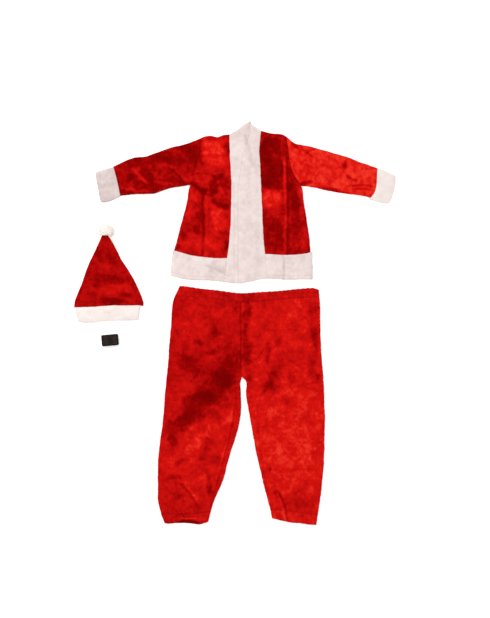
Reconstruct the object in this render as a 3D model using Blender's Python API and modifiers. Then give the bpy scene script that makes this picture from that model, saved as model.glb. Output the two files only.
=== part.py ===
"""Child's santa suit laid flat: a jacket, elasticated trousers, a hat and a rolled belt.

Every garment lies on the plane z = 0 with its front up and its neck towards +Y. Each cut piece is a
wall of cloth: a grid of points carried across the piece and along it, then thickened. A back layer
lies on the plane, a front layer lies over it, and both roll towards each other where they are sewn.
Tables are in millimetres from the garment's own origin; +X is the viewer's right, so the wearer's
right half is at -X.
"""

import math
from collections import namedtuple

import bmesh
import bpy
import numpy as np

MM = 0.001

# Driving sizes, in millimetres.
CLOTH_WALL = 2.4  # red plush
TRIM_WALL = 3.0  # white plush
CASING_WALL = 3.0  # plush doubled over elastic
CLOTH_HEIGHT = 7.0  # two layers of red plush with the air between them
TRIM_HEIGHT = 8.4  # two layers of white plush
CASING_HEIGHT = 8.6
LAYER_GAP = 0.8  # between a front and the back that it is sewn to, one above the other
END_GAP = 1.0  # between pieces side by side, whose sections fall in different places
ARMHOLE_EASE = 0.6  # how much further a sleeve keeps off the curve of its armhole

# Where each garment's origin lies on the plane.
JACKET_AT = (32.0, 120.0)  # centre front, at the hem
TROUSERS_AT = (25.0, -165.0)  # crotch
HAT_AT = (-382.0, 4.0)  # centre of the brim's lower edge
BELT_AT = (-376.5, -51.5)  # middle of the roll

# Jacket: a row for each section up the body, with the seams that it crosses. The row at UNDERARM is
# the foot of both armholes; above it the side columns follow the armholes.
UNDERARM = 293.0
Body = namedtuple("Body", "y side_right seam_right seam_left side_left")
BODY = (
    Body(75, -221, -56, 58, 195),
    Body(110, -212, -51.5, 54, 192),
    Body(150, -201, -47.5, 52, 188),
    Body(200, -188, -45, 49, 180.5),
    Body(245, -177, -44, 47, 173),
    Body(UNDERARM, -168, -43.5, 45, 165.5),
    Body(320, -157, -44.5, 43.5, 147),
    Body(354, -148, -46.5, 42.5, 134),
    Body(399, -141, -47.5, 39.5, 127),
    Body(440, -134, -49, 43, 120),
)
# Lines across the jacket, as (x, y).
HEM_SEAM = ((-222, 99), (-157, 82), (-104, 75), (-57, 74), (59, 86), (122, 84), (162, 86), (200, 92))
HEM_EDGE = ((-229, 22), (-165, 10), (-119, 9), (-73, 4), (-20, -1), (46, 12), (123, 11), (204, 12))
SHOULDER_RIGHT = ((-135, 436), (-119, 441), (-104, 442), (-85, 438), (-69, 444), (-50, 446))
SHOULDER_LEFT = ((45, 457), (78, 449), (112, 445), (120, 440))
BACK_NECK = ((-50, 440), (0, 436), (45, 449))
NECK_PEAK_X = 13.0
NECK_FOLD = (
    (-50, 446), (-27, 459), (-12, 471), (5, 482),
    (NECK_PEAK_X, 486), (17, 476), (30, 467), (45, 457),
)
COLLAR_SIDES = (-45.0, 40.0)
COLLAR_GAP = 1.5  # between the strip behind the neck and the back panel
NECK_OPENS = (-85.0, -45.0, 40.0, 80.0)  # x where the shoulder's roll flattens out, before and after the neck
SIDE_OPENS = (UNDERARM - 60, UNDERARM + 10)  # y where the side seam's roll flattens out below the armhole
UNDER_BAND_TOP = ((-50, 446), (-27, 459), (-12, 471), (5, 482), (12, 484), (20, 452))
OVER_BAND_TOP = ((8, 479), (17, 476), (30, 467), (45, 457))
HEM_SIDES = ((8, -229, 200), (95, -220, 199))  # y, right side, left side
# The left front band lies over the right one: its free edge, as (y, x), and the right band's hidden edge.
OVER_BAND_EDGE = ((0, -22), (300, -21), (340, -16), (380, -8), (420, 2), (460, 11), (480, 13))
UNDER_BAND_EDGE_X = 20.0
OVER_BAND_SLOPE = (24.0, 44.0)  # x over which the upper band comes down to its own front

# Sleeves: a row for each section along the sleeve, as x, lower edge and upper edge.
Sleeve = namedtuple("Sleeve", "x low high")
SLEEVE_RIGHT = (
    Sleeve(-400, 259, 349),
    Sleeve(-340, 267, 375),
    Sleeve(-300, 268, 380),
    Sleeve(-275, 270, 389),
    Sleeve(-227, 285, 406),
    Sleeve(-172, 294, 420),
    Sleeve(-133, 298, 437),
)
SLEEVE_LEFT = (
    Sleeve(118, 295, 441),
    Sleeve(146, 294, 421),
    Sleeve(200, 289, 408),
    Sleeve(235, 280, 398),
    Sleeve(304, 269, 378),
    Sleeve(352, 262, 360),
    Sleeve(398, 249, 343),
)
CUFF_SEAM_RIGHT = ((262, -378), (302, -386), (348, -398))  # y, x
CUFF_SEAM_LEFT = ((252, 371), (271, 386), (341, 395))
CUFF_END_RIGHT = ((243, -436), (281, -444), (317, -450), (333, -450))
CUFF_END_LEFT = ((240, 430), (260, 438), (308, 449), (322, 449))
CUFF_RIGHT = (Sleeve(-449, 250, 334), Sleeve(-434, 243, 338), Sleeve(-414, 245, 344), Sleeve(-378, 260, 354))
CUFF_LEFT = (Sleeve(370, 252, 350), Sleeve(396, 244, 345), Sleeve(420, 239, 336), Sleeve(450, 244, 322))

# Trousers: a row for each section up the legs, from the ankles to the waist.
CROTCH = -2.0
INSEAM_OPENS = (CROTCH - 30, CROTCH + 10)  # y where the inseam's roll flattens out below the centre seam
Legs = namedtuple("Legs", "y outer_right inner_right inner_left outer_left")
LEGS = (
    Legs(-440, -236, -109, 87, 218),
    Legs(-402, -250, -99, 82, 223),
    Legs(-366, -257, -88, 72, 229),
    Legs(-312, -257, -64, 58, 236),
    Legs(-258, -258, -50, 45, 240),
    Legs(-204, -252, -34, 33, 242),
    Legs(-150, -245, -16, 25, 243),
    Legs(-96, -239, -8, 15, 243),
    Legs(-42, -236, -9, 7, 241),
    Legs(-14, -233, -11, 8, 240),
    Legs(CROTCH - 3, -232, -9, 3, 239),
    Legs(CROTCH + 4, -231, -7, -5, 239),
    Legs(12, -230, -6, -6, 238),
    Legs(84, -224, -6, -6, 233),
    Legs(160, -218, -6, -6, 230),
    Legs(232, -211, -6, -6, 228),
    Legs(276, -192, -6, -6, 224),
)
WAIST_SEAM = ((-192, 245), (-82, 237), (8, 227), (118, 236), (227, 243))
WAIST_EDGE = (
    (-195, 276), (-178, 275), (-130, 268), (-82, 263), (-7, 254),
    (28, 256), (118, 262), (167, 267), (217, 268), (227, 263),
)
ANKLE_SEAM_RIGHT = ((-250, -408), (-170, -409), (-95, -402))
ANKLE_SEAM_LEFT = ((80, -394), (150, -403), (225, -411))
ANKLE_EDGE_RIGHT = ((-240, -436), (-181, -436), (-131, -440), (-108, -434))
ANKLE_EDGE_LEFT = ((85, -421), (132, -431), (197, -441), (218, -442))

# Hat: a row for each section up the cone.
Cone = namedtuple("Cone", "y right left")
CONE = (
    Cone(40, -102, 105),
    Cone(62, -100, 104),
    Cone(111, -80, 84),
    Cone(160, -63, 57),
    Cone(186, -52, 40),
    Cone(239, -26, 12),
    Cone(258, -17, 1),
)
BRIM_SEAM = ((-101, 43), (-33, 45), (22, 48), (104, 48))
BRIM_EDGE = ((-98, 0), (-61, -2), (-5, 2), (97, 5))
BRIM_SIDES = ((0, -89, 90), (20, -96, 93), (48, -99, 97))  # y, right side, left side
HAT_TIP_Y = 258.0
TIP_RISE = (195.0, HAT_TIP_Y, 8.0)  # from y, to y, height gained there
BRIM_HEIGHT = 10.0
POMPOM_CENTRE = (-4.0, 270.0)
POMPOM_REACH = (24.0, 20.5, 19.0)  # half its width, length and height
POMPOM_DENT = (-5.0, 12.0, 18.0, -10.5)  # the hat's tip sits at this x, out to these two reaches, up to this y

# Belt: a strap rolled up flat.
BELT_WIDTH = 34.0
BELT_ROLL = (53.0, 16.0)  # length and height of the roll
BELT_TURNS = 5
BELT_GROOVE = 0.9  # depth of the lines between the turns
BELT_TILT_DEG = 5.0
BELT_CORE = 0.12  # the innermost turn's size as a share of the roll's
BELT_SQUARENESS = 0.55  # below 1, the outline has a flat top and bottom and round ends
BELT_POINTS = 20  # round its outline

# The largest folds of the front layers: a row for each, from one end to the other, ridge or trough.
Fold = namedtuple("Fold", "x0 y0 x1 y1 width height")
JACKET_FOLDS = (
    Fold(-130, 84, -128, 285, 14, 1.4),
    Fold(118, 92, 116, 400, 14, 1.5),
    Fold(-162, 300, -120, 240, 16, -1.2),
    Fold(-330, 360, -300, 280, 18, 1.4),
    Fold(-262, 380, -200, 310, 20, -1.2),
    Fold(175, 405, 215, 320, 18, 1.3),
    Fold(340, 350, 350, 280, 16, -1.2),
)
TROUSER_FOLDS = (
    Fold(-25, -10, -215, -150, 26, -1.3),
    Fold(-30, 60, -190, -60, 26, 1.4),
    Fold(40, 20, 90, -70, 20, 1.4),
    Fold(120, -60, 225, -75, 20, -1.2),
    Fold(-120, -280, -150, -380, 20, 1.3),
    Fold(110, -330, 140, -415, 16, -1.3),
    Fold(60, -290, 210, -310, 22, 1.2),
)
HAT_FOLDS = (Fold(-60, 95, 50, 120, 18, 1.3), Fold(-30, 150, 35, 135, 16, -1.0))

# Colours as linear RGB, with roughness and sheen, for each finish.
Finish = namedtuple("Finish", "colour roughness sheen")
RED_PLUSH = Finish((0.55, 0.008, 0.006), 0.75, 0.5)
WHITE_PLUSH = Finish((0.86, 0.78, 0.75), 0.9, 0.4)
BLACK_STRAP = Finish((0.022, 0.014, 0.013), 0.5, 0.0)

# A rolled edge: the angles from the flat at which it is divided, then a straight stretch to the seam,
# as a share of the way down, which leans outwards a little so that it has a width everywhere.
ROLL_ANGLES = (45.0, 90.0)
ROLL_END = 0.18
ROLL_END_LEAN = 0.01
ROLL_SLACK = 0.8  # how far the last bend draws back where the edge lies flat instead
PLAN_ROUNDS = 12  # enough for the corners to settle
Stations = namedtuple("Stations", "offset slack share lean end layer")

# How many places each piece's grid has, across it and along it. A tube has its front's and its back's across.
BACK_GRID, FRONT_GRID, BAND_GRIDS, COLLAR_GRID = (13, 12), (9, 12), ((5, 12), (7, 12)), (9, 3)
HEM_BACK_GRID, HEM_FRONT_GRID = (13, 3), (8, 3)
SLEEVE_GRID, CUFF_GRID = ((7, 6), 9), ((6, 6), 4)
LEG_GRID, ANKLE_GRID, WAIST_GRID = ((9, 5), 15), ((6, 4), 3), ((16, 8), 3)
HAT_GRIDS, BRIM_GRID = ((7, 8), (5, 8)), ((8, 5), 3)


def smooth_line(knots):
    """A function of one number through the knots: cubic between them, straight beyond them."""
    x, y = np.array(sorted(knots), float).T
    rise = np.diff(y) / np.diff(x)
    slope = np.concatenate([rise[:1], (rise[:-1] + rise[1:]) / 2, rise[-1:]])

    def at(where):
        where = np.asarray(where, float)
        i = np.clip(np.searchsorted(x, where) - 1, 0, len(x) - 2)
        step = x[i + 1] - x[i]
        t = np.clip((where - x[i]) / step, 0, 1)
        curve = (
            (2 * t**3 - 3 * t**2 + 1) * y[i]
            + (t**3 - 2 * t**2 + t) * step * slope[i]
            + (3 * t**2 - 2 * t**3) * y[i + 1]
            + (t**3 - t**2) * step * slope[i + 1]
        )
        beyond = np.minimum(where - x[0], 0) * slope[0] + np.maximum(where - x[-1], 0) * slope[-1]
        return curve + beyond

    return at


def column(table, name, key="y"):
    """The smooth line of one named column of a table, against its key column."""
    return smooth_line([(getattr(row, key), getattr(row, name)) for row in table])


def level(value):
    """A line that has the same value everywhere."""
    return lambda where: np.full_like(np.asarray(where, float), value)


def smooth_step(start, end, value):
    """0 before start, 1 after end, and a smooth rise between them."""
    t = np.clip((value - start) / (end - start), 0, 1)
    return t * t * (3 - 2 * t)


def fold_height(x, y, folds):
    """Sum of the folds at each point: a bell across each fold's line that fades out past its ends."""
    total = np.zeros_like(x)
    for fold in folds:
        along = np.array([fold.x1 - fold.x0, fold.y1 - fold.y0], float)
        length = np.hypot(*along)
        along /= length
        dx, dy = x - fold.x0, y - fold.y0
        run = dx * along[0] + dy * along[1]
        past = np.maximum(np.maximum(-run, run - length), 0)
        away = dx * along[1] - dy * along[0]
        total += fold.height * np.exp(-(away**2 + past**2) / fold.width**2)
    return total


def stations(count, layer, radius, rolled=(True, True)):
    """Places across one layer, from its first edge to its last, inset by half the gap between pieces.

    A rolled edge takes a quarter round of that radius. Each place is a distance from the first edge
    plus a share of the width; lean is the angle from the flat, and end is 1 at the very edge of a roll.
    """
    inset = END_GAP / 2
    margins = [inset + (radius if roll else 0) for roll in rolled]
    share = np.linspace(0, 1, count)
    offset = margins[0] - share * sum(margins)
    lean = np.zeros(count)
    end = np.zeros(count)
    angles = np.array(ROLL_ANGLES + ROLL_ANGLES[-1:])
    depth = inset + radius * (1 - np.sin(np.radians(angles)))
    depth[-1] -= ROLL_END_LEAN
    at_end = np.array([0.0] * len(ROLL_ANGLES) + [1.0])
    slack = np.zeros(count)
    drawn = ROLL_SLACK * np.array([0.0] * (len(ROLL_ANGLES) - 1) + [1.0, 0.0])
    if rolled[0]:
        offset = np.concatenate([depth[::-1], offset])
        slack = np.concatenate([drawn[::-1], slack])
        share = np.concatenate([np.zeros(len(angles)), share])
        lean = np.concatenate([-angles[::-1], lean])
        end = np.concatenate([at_end[::-1], end])
    if rolled[1]:
        offset = np.concatenate([offset, -depth])
        slack = np.concatenate([slack, -drawn])
        share = np.concatenate([share, np.ones(len(angles))])
        lean = np.concatenate([lean, angles])
        end = np.concatenate([end, at_end])
    return Stations(offset, slack, share, lean, end, np.full(len(lean), layer))


def backwards(run):
    return Stations(*[values[::-1] for values in run])


def joined(first, second):
    """Two runs end to end, where the second starts at the place that the first ends at."""
    return Stations(*[np.concatenate([a, b[1:]]) for a, b in zip(first, second)])


def ring(counts, radius):
    """Over the front layer and back along the rear one: a closed flattened tube."""
    over = stations(counts[0], 1, radius)
    under = backwards(stations(counts[1], -1, radius))
    loop = joined(over, under)
    return Stations(*[values[:-1] for values in loop])


def plan(edges, u, v, close_u, close_v):
    """Points of a piece on the plane, for places u across X and v across Y.

    The sides are lines x(y) and the ends lines y(x), so the point is found by going back and forth.
    """
    left, right, low, high = edges
    middle = (left(0.0) + right(0.0)) / 2
    x = np.full(np.broadcast(u.share, v.share).shape, float(middle))
    y = (low(x) + high(x)) / 2
    for _ in range(PLAN_ROUNDS):
        x_offset = u.offset + u.slack * (1 - close_u(x, y))
        y_offset = v.offset + v.slack * (1 - close_v(x, y))
        x = left(y) + x_offset + u.share * (right(y) - left(y))
        y = low(x) + y_offset + v.share * (high(x) - low(x))
    return x, y


def rolled_down(u, v, close_u, close_v):
    """How far each point has rolled from its layer's level, 0, to the seam's level, 1."""
    a = np.sin(np.radians(np.abs(u.lean))) * close_u
    b = np.sin(np.radians(np.abs(v.lean))) * close_v
    arc = 1 - np.sqrt(np.maximum(1 - a**2 - b**2, 0))
    return arc * (1 - ROLL_END) + ROLL_END * np.maximum(u.end * close_u, v.end * close_v)


def as_across(run, axis):
    """The run's values as a column for X, axis 0, or a row for Y, axis 1."""
    return Stations(*[values[:, None] if axis == 0 else values[None, :] for values in run])


def always(x, y):
    return np.ones_like(x)


def cloth_points(edges, u, v, height, gap_at=0.0, close_u=always, close_v=always, lift=None, folds=()):
    """Points of a wrapped or flat piece, in millimetres, as an array with u first and v second."""
    x, y = plan(edges, u, v, close_u, close_v)
    rolled = rolled_down(u, v, close_u(x, y), close_v(x, y))
    front = (u.layer * v.layer + np.zeros_like(x)) > 0
    top = height(x, y) if callable(height) else np.full_like(x, height)
    middle = (height(x * 0, y * 0).min() if callable(height) else height) / 2
    top = top + fold_height(x, y, folds) * (1 - rolled)
    over = top - rolled * (top - middle - gap_at / 2)
    under = rolled * (middle - gap_at / 2)
    z = np.where(front, over, under)
    if lift is not None:
        z = z + lift(x, y)
    return np.stack([x, y, z], axis=-1), front


def sewn_mesh(name, points, front, closed, wall, origin):
    """An object for the grid of points: its outer surface, thickened inwards by the wall."""
    rows = len(points) if closed else len(points) - 1
    columns = points.shape[1]
    corners = [(i, (i + 1) % len(points), j) for i in range(rows) for j in range(columns - 1)]
    quads = [
        (a * columns + j, b * columns + j, b * columns + j + 1, a * columns + j + 1) for a, b, j in corners
    ]
    flat = points.reshape(-1, 3)
    outwards = 0.0
    for quad in quads:
        p = flat[list(quad)]
        side = 1.0 if front.reshape(-1)[quad[0]] else -1.0
        outwards += side * np.cross(p[2] - p[0], p[3] - p[1])[2]
    if outwards < 0:
        quads = [quad[::-1] for quad in quads]
    place = np.array([origin[0], origin[1], 0.0])
    mesh = bpy.data.meshes.new(name)
    mesh.from_pydata([tuple(p) for p in (flat + place) * MM], [], quads)
    mesh.update()
    mesh.shade_smooth()
    obj = bpy.data.objects.new(name, mesh)
    solid = obj.modifiers.new("wall", "SOLIDIFY")
    solid.thickness = wall * MM
    solid.offset = -1.0
    solid.use_even_offset = True
    return obj


def finished(obj, finish, collection):
    """Gives the object its own material and puts it in the collection."""
    material = bpy.data.materials.new(obj.name)
    material.use_nodes = True
    shader = material.node_tree.nodes["Principled BSDF"]
    shader.inputs["Base Color"].default_value = (*finish.colour, 1.0)
    shader.inputs["Roughness"].default_value = finish.roughness
    shader.inputs["Sheen Weight"].default_value = finish.sheen
    shader.inputs["Metallic"].default_value = 0.0
    material.diffuse_color = (*finish.colour, 1.0)
    obj.data.materials.append(material)
    collection.objects.link(obj)
    return obj


def panel(name, edges, counts, layer, height, wall, origin, rolled_u, rolled_v, **shape):
    """One flat layer, front (1) or back (-1), with the edges named in rolled_u and rolled_v rolled."""
    radius = TRIM_HEIGHT / 2 if callable(height) else height / 2
    u = as_across(stations(counts[0], layer, radius, rolled_u), 0)
    v = as_across(stations(counts[1], 1, radius, rolled_v), 1)
    points, front = cloth_points(edges, u, v, height, gap_at=LAYER_GAP, **shape)
    return sewn_mesh(name, points, front, False, wall, origin)


def tube_across_x(name, edges, counts, height, wall, origin, **shape):
    """A flattened tube that runs up the garment: its section is carried along Y."""
    across, along = counts
    u = as_across(ring(across, height / 2), 0)
    v = as_across(stations(along, 1, 0.0, (False, False)), 1)
    points, front = cloth_points(edges, u, v, height, **shape)
    return sewn_mesh(name, points, front, True, wall, origin)


def tube_across_y(name, edges, counts, height, wall, origin, **shape):
    """A flattened tube that runs sideways, as a sleeve does: its section is carried along X."""
    across, along = counts
    v = as_across(ring(across, height / 2), 1)
    u = as_across(stations(along, 1, 0.0, (False, False)), 0)
    points, front = cloth_points(edges, u, v, height, **shape)
    return sewn_mesh(name, points.transpose(1, 0, 2), front.T, True, wall, origin)


def body_side(name):
    return column(BODY, name)


def below_underarm(x, y):
    """1 along the side seams, where the edge rolls, and 0 along the armholes, where it lies flat."""
    return 1 - smooth_step(*SIDE_OPENS, y)


def outside_neck(x, y):
    """1 along the shoulders, 0 along the back of the neck."""
    return 1 - smooth_step(*NECK_OPENS[:2], x) * (1 - smooth_step(*NECK_OPENS[2:], x))


def back_top():
    """The back panel's upper edge: one shoulder, the back of the neck, the other shoulder."""
    return smooth_line(SHOULDER_RIGHT[:4] + BACK_NECK + SHOULDER_LEFT[1:])


def build_jacket_body(collection):
    hem, edge = smooth_line(HEM_SEAM), smooth_line(HEM_EDGE)
    side_right, side_left = body_side("side_right"), body_side("side_left")
    seam_right, seam_left = body_side("seam_right"), body_side("seam_left")
    on_seams = {"close_u": below_underarm, "folds": JACKET_FOLDS}
    cloth = (CLOTH_HEIGHT, CLOTH_WALL, JACKET_AT)
    red = [
        panel(
            "jacket_back", (side_right, side_left, hem, back_top()), BACK_GRID, -1, *cloth,
            (True, True), (False, True), close_u=below_underarm, close_v=outside_neck,
        ),
        panel(
            "front_right", (side_right, seam_right, hem, smooth_line(SHOULDER_RIGHT)), FRONT_GRID, 1, *cloth,
            (True, False), (False, True), **on_seams,
        ),
        panel(
            "front_left", (seam_left, side_left, hem, smooth_line(SHOULDER_LEFT)), FRONT_GRID, 1, *cloth,
            (False, True), (False, True), **on_seams,
        ),
    ]
    hem_right = smooth_line([(y, right) for y, right, _ in HEM_SIDES])
    hem_left = smooth_line([(y, left) for y, _, left in HEM_SIDES])
    trim = (TRIM_HEIGHT, TRIM_WALL, JACKET_AT)
    Hem = namedtuple("Hem", "name left right grid layer rolled")
    hems = (
        Hem("hem_back", hem_right, hem_left, HEM_BACK_GRID, -1, (True, True)),
        Hem("hem_front_right", hem_right, seam_right, HEM_FRONT_GRID, 1, (True, False)),
        Hem("hem_front_left", seam_left, hem_left, HEM_FRONT_GRID, 1, (False, True)),
    )
    for obj in red:
        finished(obj, RED_PLUSH, collection)
    for band in hems:
        edges = (band.left, band.right, edge, hem)
        obj = panel(band.name, edges, band.grid, band.layer, *trim, band.rolled, (False, False))
        finished(obj, WHITE_PLUSH, collection)


def over_band_height(x, y):
    """The upper band lies on the lower one and comes down to its own front beside it."""
    start, end = OVER_BAND_SLOPE
    return TRIM_HEIGHT + (TRIM_WALL + LAYER_GAP) * (1 - smooth_step(start, end, x))


def build_front_bands(collection):
    edge = smooth_line(HEM_EDGE)
    seam_right, seam_left = body_side("seam_right"), body_side("seam_left")
    under = (seam_right, level(UNDER_BAND_EDGE_X), edge, smooth_line(UNDER_BAND_TOP))
    over = (smooth_line(OVER_BAND_EDGE), seam_left, edge, smooth_line(OVER_BAND_TOP))
    behind = (*[level(x) for x in COLLAR_SIDES], shifted(back_top(), COLLAR_GAP), smooth_line(NECK_FOLD))
    strips = (
        ("band_right", under, BAND_GRIDS[0], 1, TRIM_HEIGHT),
        ("band_left", over, BAND_GRIDS[1], 1, over_band_height),
        ("collar", behind, COLLAR_GRID, -1, TRIM_HEIGHT),
    )
    for name, edges, grid, layer, height in strips:
        obj = panel(name, edges, grid, layer, height, TRIM_WALL, JACKET_AT, (False, False), (False, False))
        finished(obj, WHITE_PLUSH, collection)


def build_sleeves(collection):
    Arm = namedtuple("Arm", "name sleeve cuff seam end armhole")
    arms = (
        Arm("right", SLEEVE_RIGHT, CUFF_RIGHT, CUFF_SEAM_RIGHT, CUFF_END_RIGHT, body_side("side_right")),
        Arm("left", SLEEVE_LEFT, CUFF_LEFT, CUFF_SEAM_LEFT, CUFF_END_LEFT, body_side("side_left")),
    )
    for arm in arms:
        seam, end = smooth_line(arm.seam), smooth_line(arm.end)
        low, high = column(arm.sleeve, "low", "x"), column(arm.sleeve, "high", "x")
        cuff_low, cuff_high = column(arm.cuff, "low", "x"), column(arm.cuff, "high", "x")
        outwards = arm.name == "right"
        armhole = shifted(arm.armhole, -ARMHOLE_EASE if outwards else ARMHOLE_EASE)
        sleeve_ends = (seam, armhole) if outwards else (armhole, seam)
        cuff_ends = (end, seam) if outwards else (seam, end)
        sleeve = tube_across_y(
            f"sleeve_{arm.name}", (*sleeve_ends, low, high), SLEEVE_GRID, CLOTH_HEIGHT, CLOTH_WALL, JACKET_AT,
            folds=JACKET_FOLDS,
        )
        cuff_edges = (*cuff_ends, cuff_low, cuff_high)
        cuff = tube_across_y(f"cuff_{arm.name}", cuff_edges, CUFF_GRID, TRIM_HEIGHT, TRIM_WALL, JACKET_AT)
        finished(sleeve, RED_PLUSH, collection)
        finished(cuff, WHITE_PLUSH, collection)


def below_crotch(x, y):
    """1 along the inseams, where the legs close, and 0 along the centre seam above the crotch."""
    return 1 - smooth_step(*INSEAM_OPENS, y)


def shifted(line, distance):
    return lambda where: line(where) + distance


def build_trousers(collection):
    waist = smooth_line(WAIST_EDGE)
    waist_seam = smooth_line(WAIST_SEAM)
    Leg = namedtuple("Leg", "name edge seam outer inner")
    legs = (
        Leg("right", ANKLE_EDGE_RIGHT, ANKLE_SEAM_RIGHT, "outer_right", "inner_right"),
        Leg("left", ANKLE_EDGE_LEFT, ANKLE_SEAM_LEFT, "outer_left", "inner_left"),
    )
    radius = CLOTH_HEIGHT / 2
    for leg in legs:
        ankle_seam = smooth_line(leg.seam)
        outer, inner = column(LEGS, leg.outer), column(LEGS, leg.inner)
        sides = (outer, inner) if leg.name == "right" else (inner, outer)
        across, along = LEG_GRID
        front, back = stations(across[0], 1, radius), stations(across[1], -1, radius)
        if leg.name == "right":
            section = joined(backwards(front), back)
        else:
            section = joined(front, backwards(back))
        u = as_across(section, 0)
        v = as_across(stations(along, 1, 0.0, (False, False)), 1)
        inner_lean = u.lean if leg.name == "right" else -u.lean

        def closing(x, y, inner_lean=inner_lean):
            """The outer edge is a fold all the way; the inner one is sewn below the crotch only."""
            return np.where(inner_lean > 0, below_crotch(x, y), 1.0)

        gap = np.where(inner_lean > 0, LAYER_GAP, 0.0)

        edges = (*sides, ankle_seam, waist_seam)
        points, is_front = cloth_points(edges, u, v, CLOTH_HEIGHT, gap, close_u=closing, folds=TROUSER_FOLDS)
        body = sewn_mesh(f"leg_{leg.name}", points, is_front, False, CLOTH_WALL, TROUSERS_AT)
        finished(body, RED_PLUSH, collection)
        ankle_edges = (*sides, smooth_line(leg.edge), ankle_seam)
        name = f"ankle_casing_{leg.name}"
        casing = tube_across_x(name, ankle_edges, ANKLE_GRID, CASING_HEIGHT, CASING_WALL, TROUSERS_AT)
        finished(casing, RED_PLUSH, collection)
    waist_edges = (column(LEGS, "outer_right"), column(LEGS, "outer_left"), waist_seam, waist)
    casing = tube_across_x("waist_casing", waist_edges, WAIST_GRID, CASING_HEIGHT, CASING_WALL, TROUSERS_AT)
    finished(casing, RED_PLUSH, collection)


def tip_lift(x, y):
    """The hat's tip is held up off the surface by the pompom that it is sewn to."""
    start, end, rise = TIP_RISE
    return rise * smooth_step(start, end, y)


def build_hat(collection):
    edges = (column(CONE, "right"), column(CONE, "left"), smooth_line(BRIM_SEAM), level(HAT_TIP_Y))
    halves = (("hat_front", 1, HAT_GRIDS[0], HAT_FOLDS), ("hat_back", -1, HAT_GRIDS[1], ()))
    for name, layer, grid, folds in halves:
        cone = panel(
            name, edges, grid, layer, CLOTH_HEIGHT, CLOTH_WALL, HAT_AT, (True, True), (False, False),
            lift=tip_lift, folds=folds,
        )
        finished(cone, RED_PLUSH, collection)
    right = smooth_line([(y, a) for y, a, _ in BRIM_SIDES])
    left = smooth_line([(y, b) for y, _, b in BRIM_SIDES])
    brim_edges = (right, left, smooth_line(BRIM_EDGE), smooth_line(BRIM_SEAM))
    brim = tube_across_x("hat_brim", brim_edges, BRIM_GRID, BRIM_HEIGHT, TRIM_WALL, HAT_AT)
    finished(brim, WHITE_PLUSH, collection)
    finished(pompom(), WHITE_PLUSH, collection)


def pompom():
    """A squashed ball, flattened in the middle of the side that the hat's tip is sewn to."""
    middle, full, none, limit = POMPOM_DENT
    mesh = bpy.data.meshes.new("pompom")
    ball = bmesh.new()
    bmesh.ops.create_uvsphere(ball, u_segments=24, v_segments=12, radius=1.0)
    for vertex in ball.verts:
        x, y, z = [share * reach for share, reach in zip(vertex.co, POMPOM_REACH)]
        y += max(limit - y, 0.0) * float(1 - smooth_step(full, none, abs(x - middle)))
        vertex.co = (
            (HAT_AT[0] + POMPOM_CENTRE[0] + x) * MM,
            (HAT_AT[1] + POMPOM_CENTRE[1] + y) * MM,
            (POMPOM_REACH[2] + z) * MM,
        )
    ball.to_mesh(mesh)
    ball.free()
    mesh.shade_smooth()
    return bpy.data.objects.new("pompom", mesh)


def build_belt(collection):
    """A strap rolled flat: its outline in X and Z, with a groove between its turns at both ends."""
    length, height = BELT_ROLL
    around = np.linspace(0, 2 * math.pi, BELT_POINTS, endpoint=False)
    outline_x = np.sign(np.cos(around)) * np.abs(np.cos(around)) ** BELT_SQUARENESS
    outline_z = np.sign(np.sin(around)) * np.abs(np.sin(around)) ** BELT_SQUARENESS
    loops = []
    sizes = np.linspace(BELT_CORE, 1.0, 2 * BELT_TURNS)
    for k, size in enumerate(sizes):
        inset = BELT_GROOVE if k % 2 == 0 else 0.0
        loops.append((size, BELT_WIDTH / 2 - inset))
    loops += [(size, -y) for size, y in reversed(loops)]
    tilt = math.radians(BELT_TILT_DEG)
    points = []
    for size, y in loops:
        x = outline_x * (length / 2 - (height / 2) * (1 - size))
        z = height / 2 + outline_z * size * height / 2
        turned_x = x * math.cos(tilt) - y * math.sin(tilt)
        turned_y = x * math.sin(tilt) + y * math.cos(tilt)
        points += list(zip(turned_x + BELT_AT[0], turned_y + BELT_AT[1], z))
    n = len(around)
    quads = [
        (k * n + i, k * n + (i + 1) % n, (k + 1) * n + (i + 1) % n, (k + 1) * n + i)
        for k in range(len(loops) - 1)
        for i in range(n)
    ]
    first = tuple(range(n))[::-1]
    last = tuple(range((len(loops) - 1) * n, len(loops) * n))
    mesh = bpy.data.meshes.new("belt")
    mesh.from_pydata([tuple(np.array(p) * MM) for p in points], [], quads + [first, last])
    mesh.update()
    shape = bmesh.new()
    shape.from_mesh(mesh)
    bmesh.ops.recalc_face_normals(shape, faces=shape.faces)
    shape.to_mesh(mesh)
    shape.free()
    finished(bpy.data.objects.new("belt", mesh), BLACK_STRAP, collection)


def main():
    for obj in list(bpy.data.objects):
        bpy.data.objects.remove(obj)
    suit = bpy.data.collections.new("santa_suit")
    bpy.context.scene.collection.children.link(suit)
    build_jacket_body(suit)
    build_front_bands(suit)
    build_sleeves(suit)
    build_trousers(suit)
    build_hat(suit)
    build_belt(suit)


main()
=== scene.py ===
"""Looks of a child's santa suit laid flat: a jacket, trousers and hat of crushed red plush, and a rolled belt.

Tables are in millimetres from each garment's own origin, with +X to the viewer's right and +Y towards
the neck, so the wearer's right half is at -X. A piece of cloth is a grid of points on its outer face,
which is thickened inwards and rounded over at its cut edges. A back layer lies on the floor, a front
layer lies over it, and both roll towards each other where they are sewn.
"""

import math
from collections import namedtuple

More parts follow.
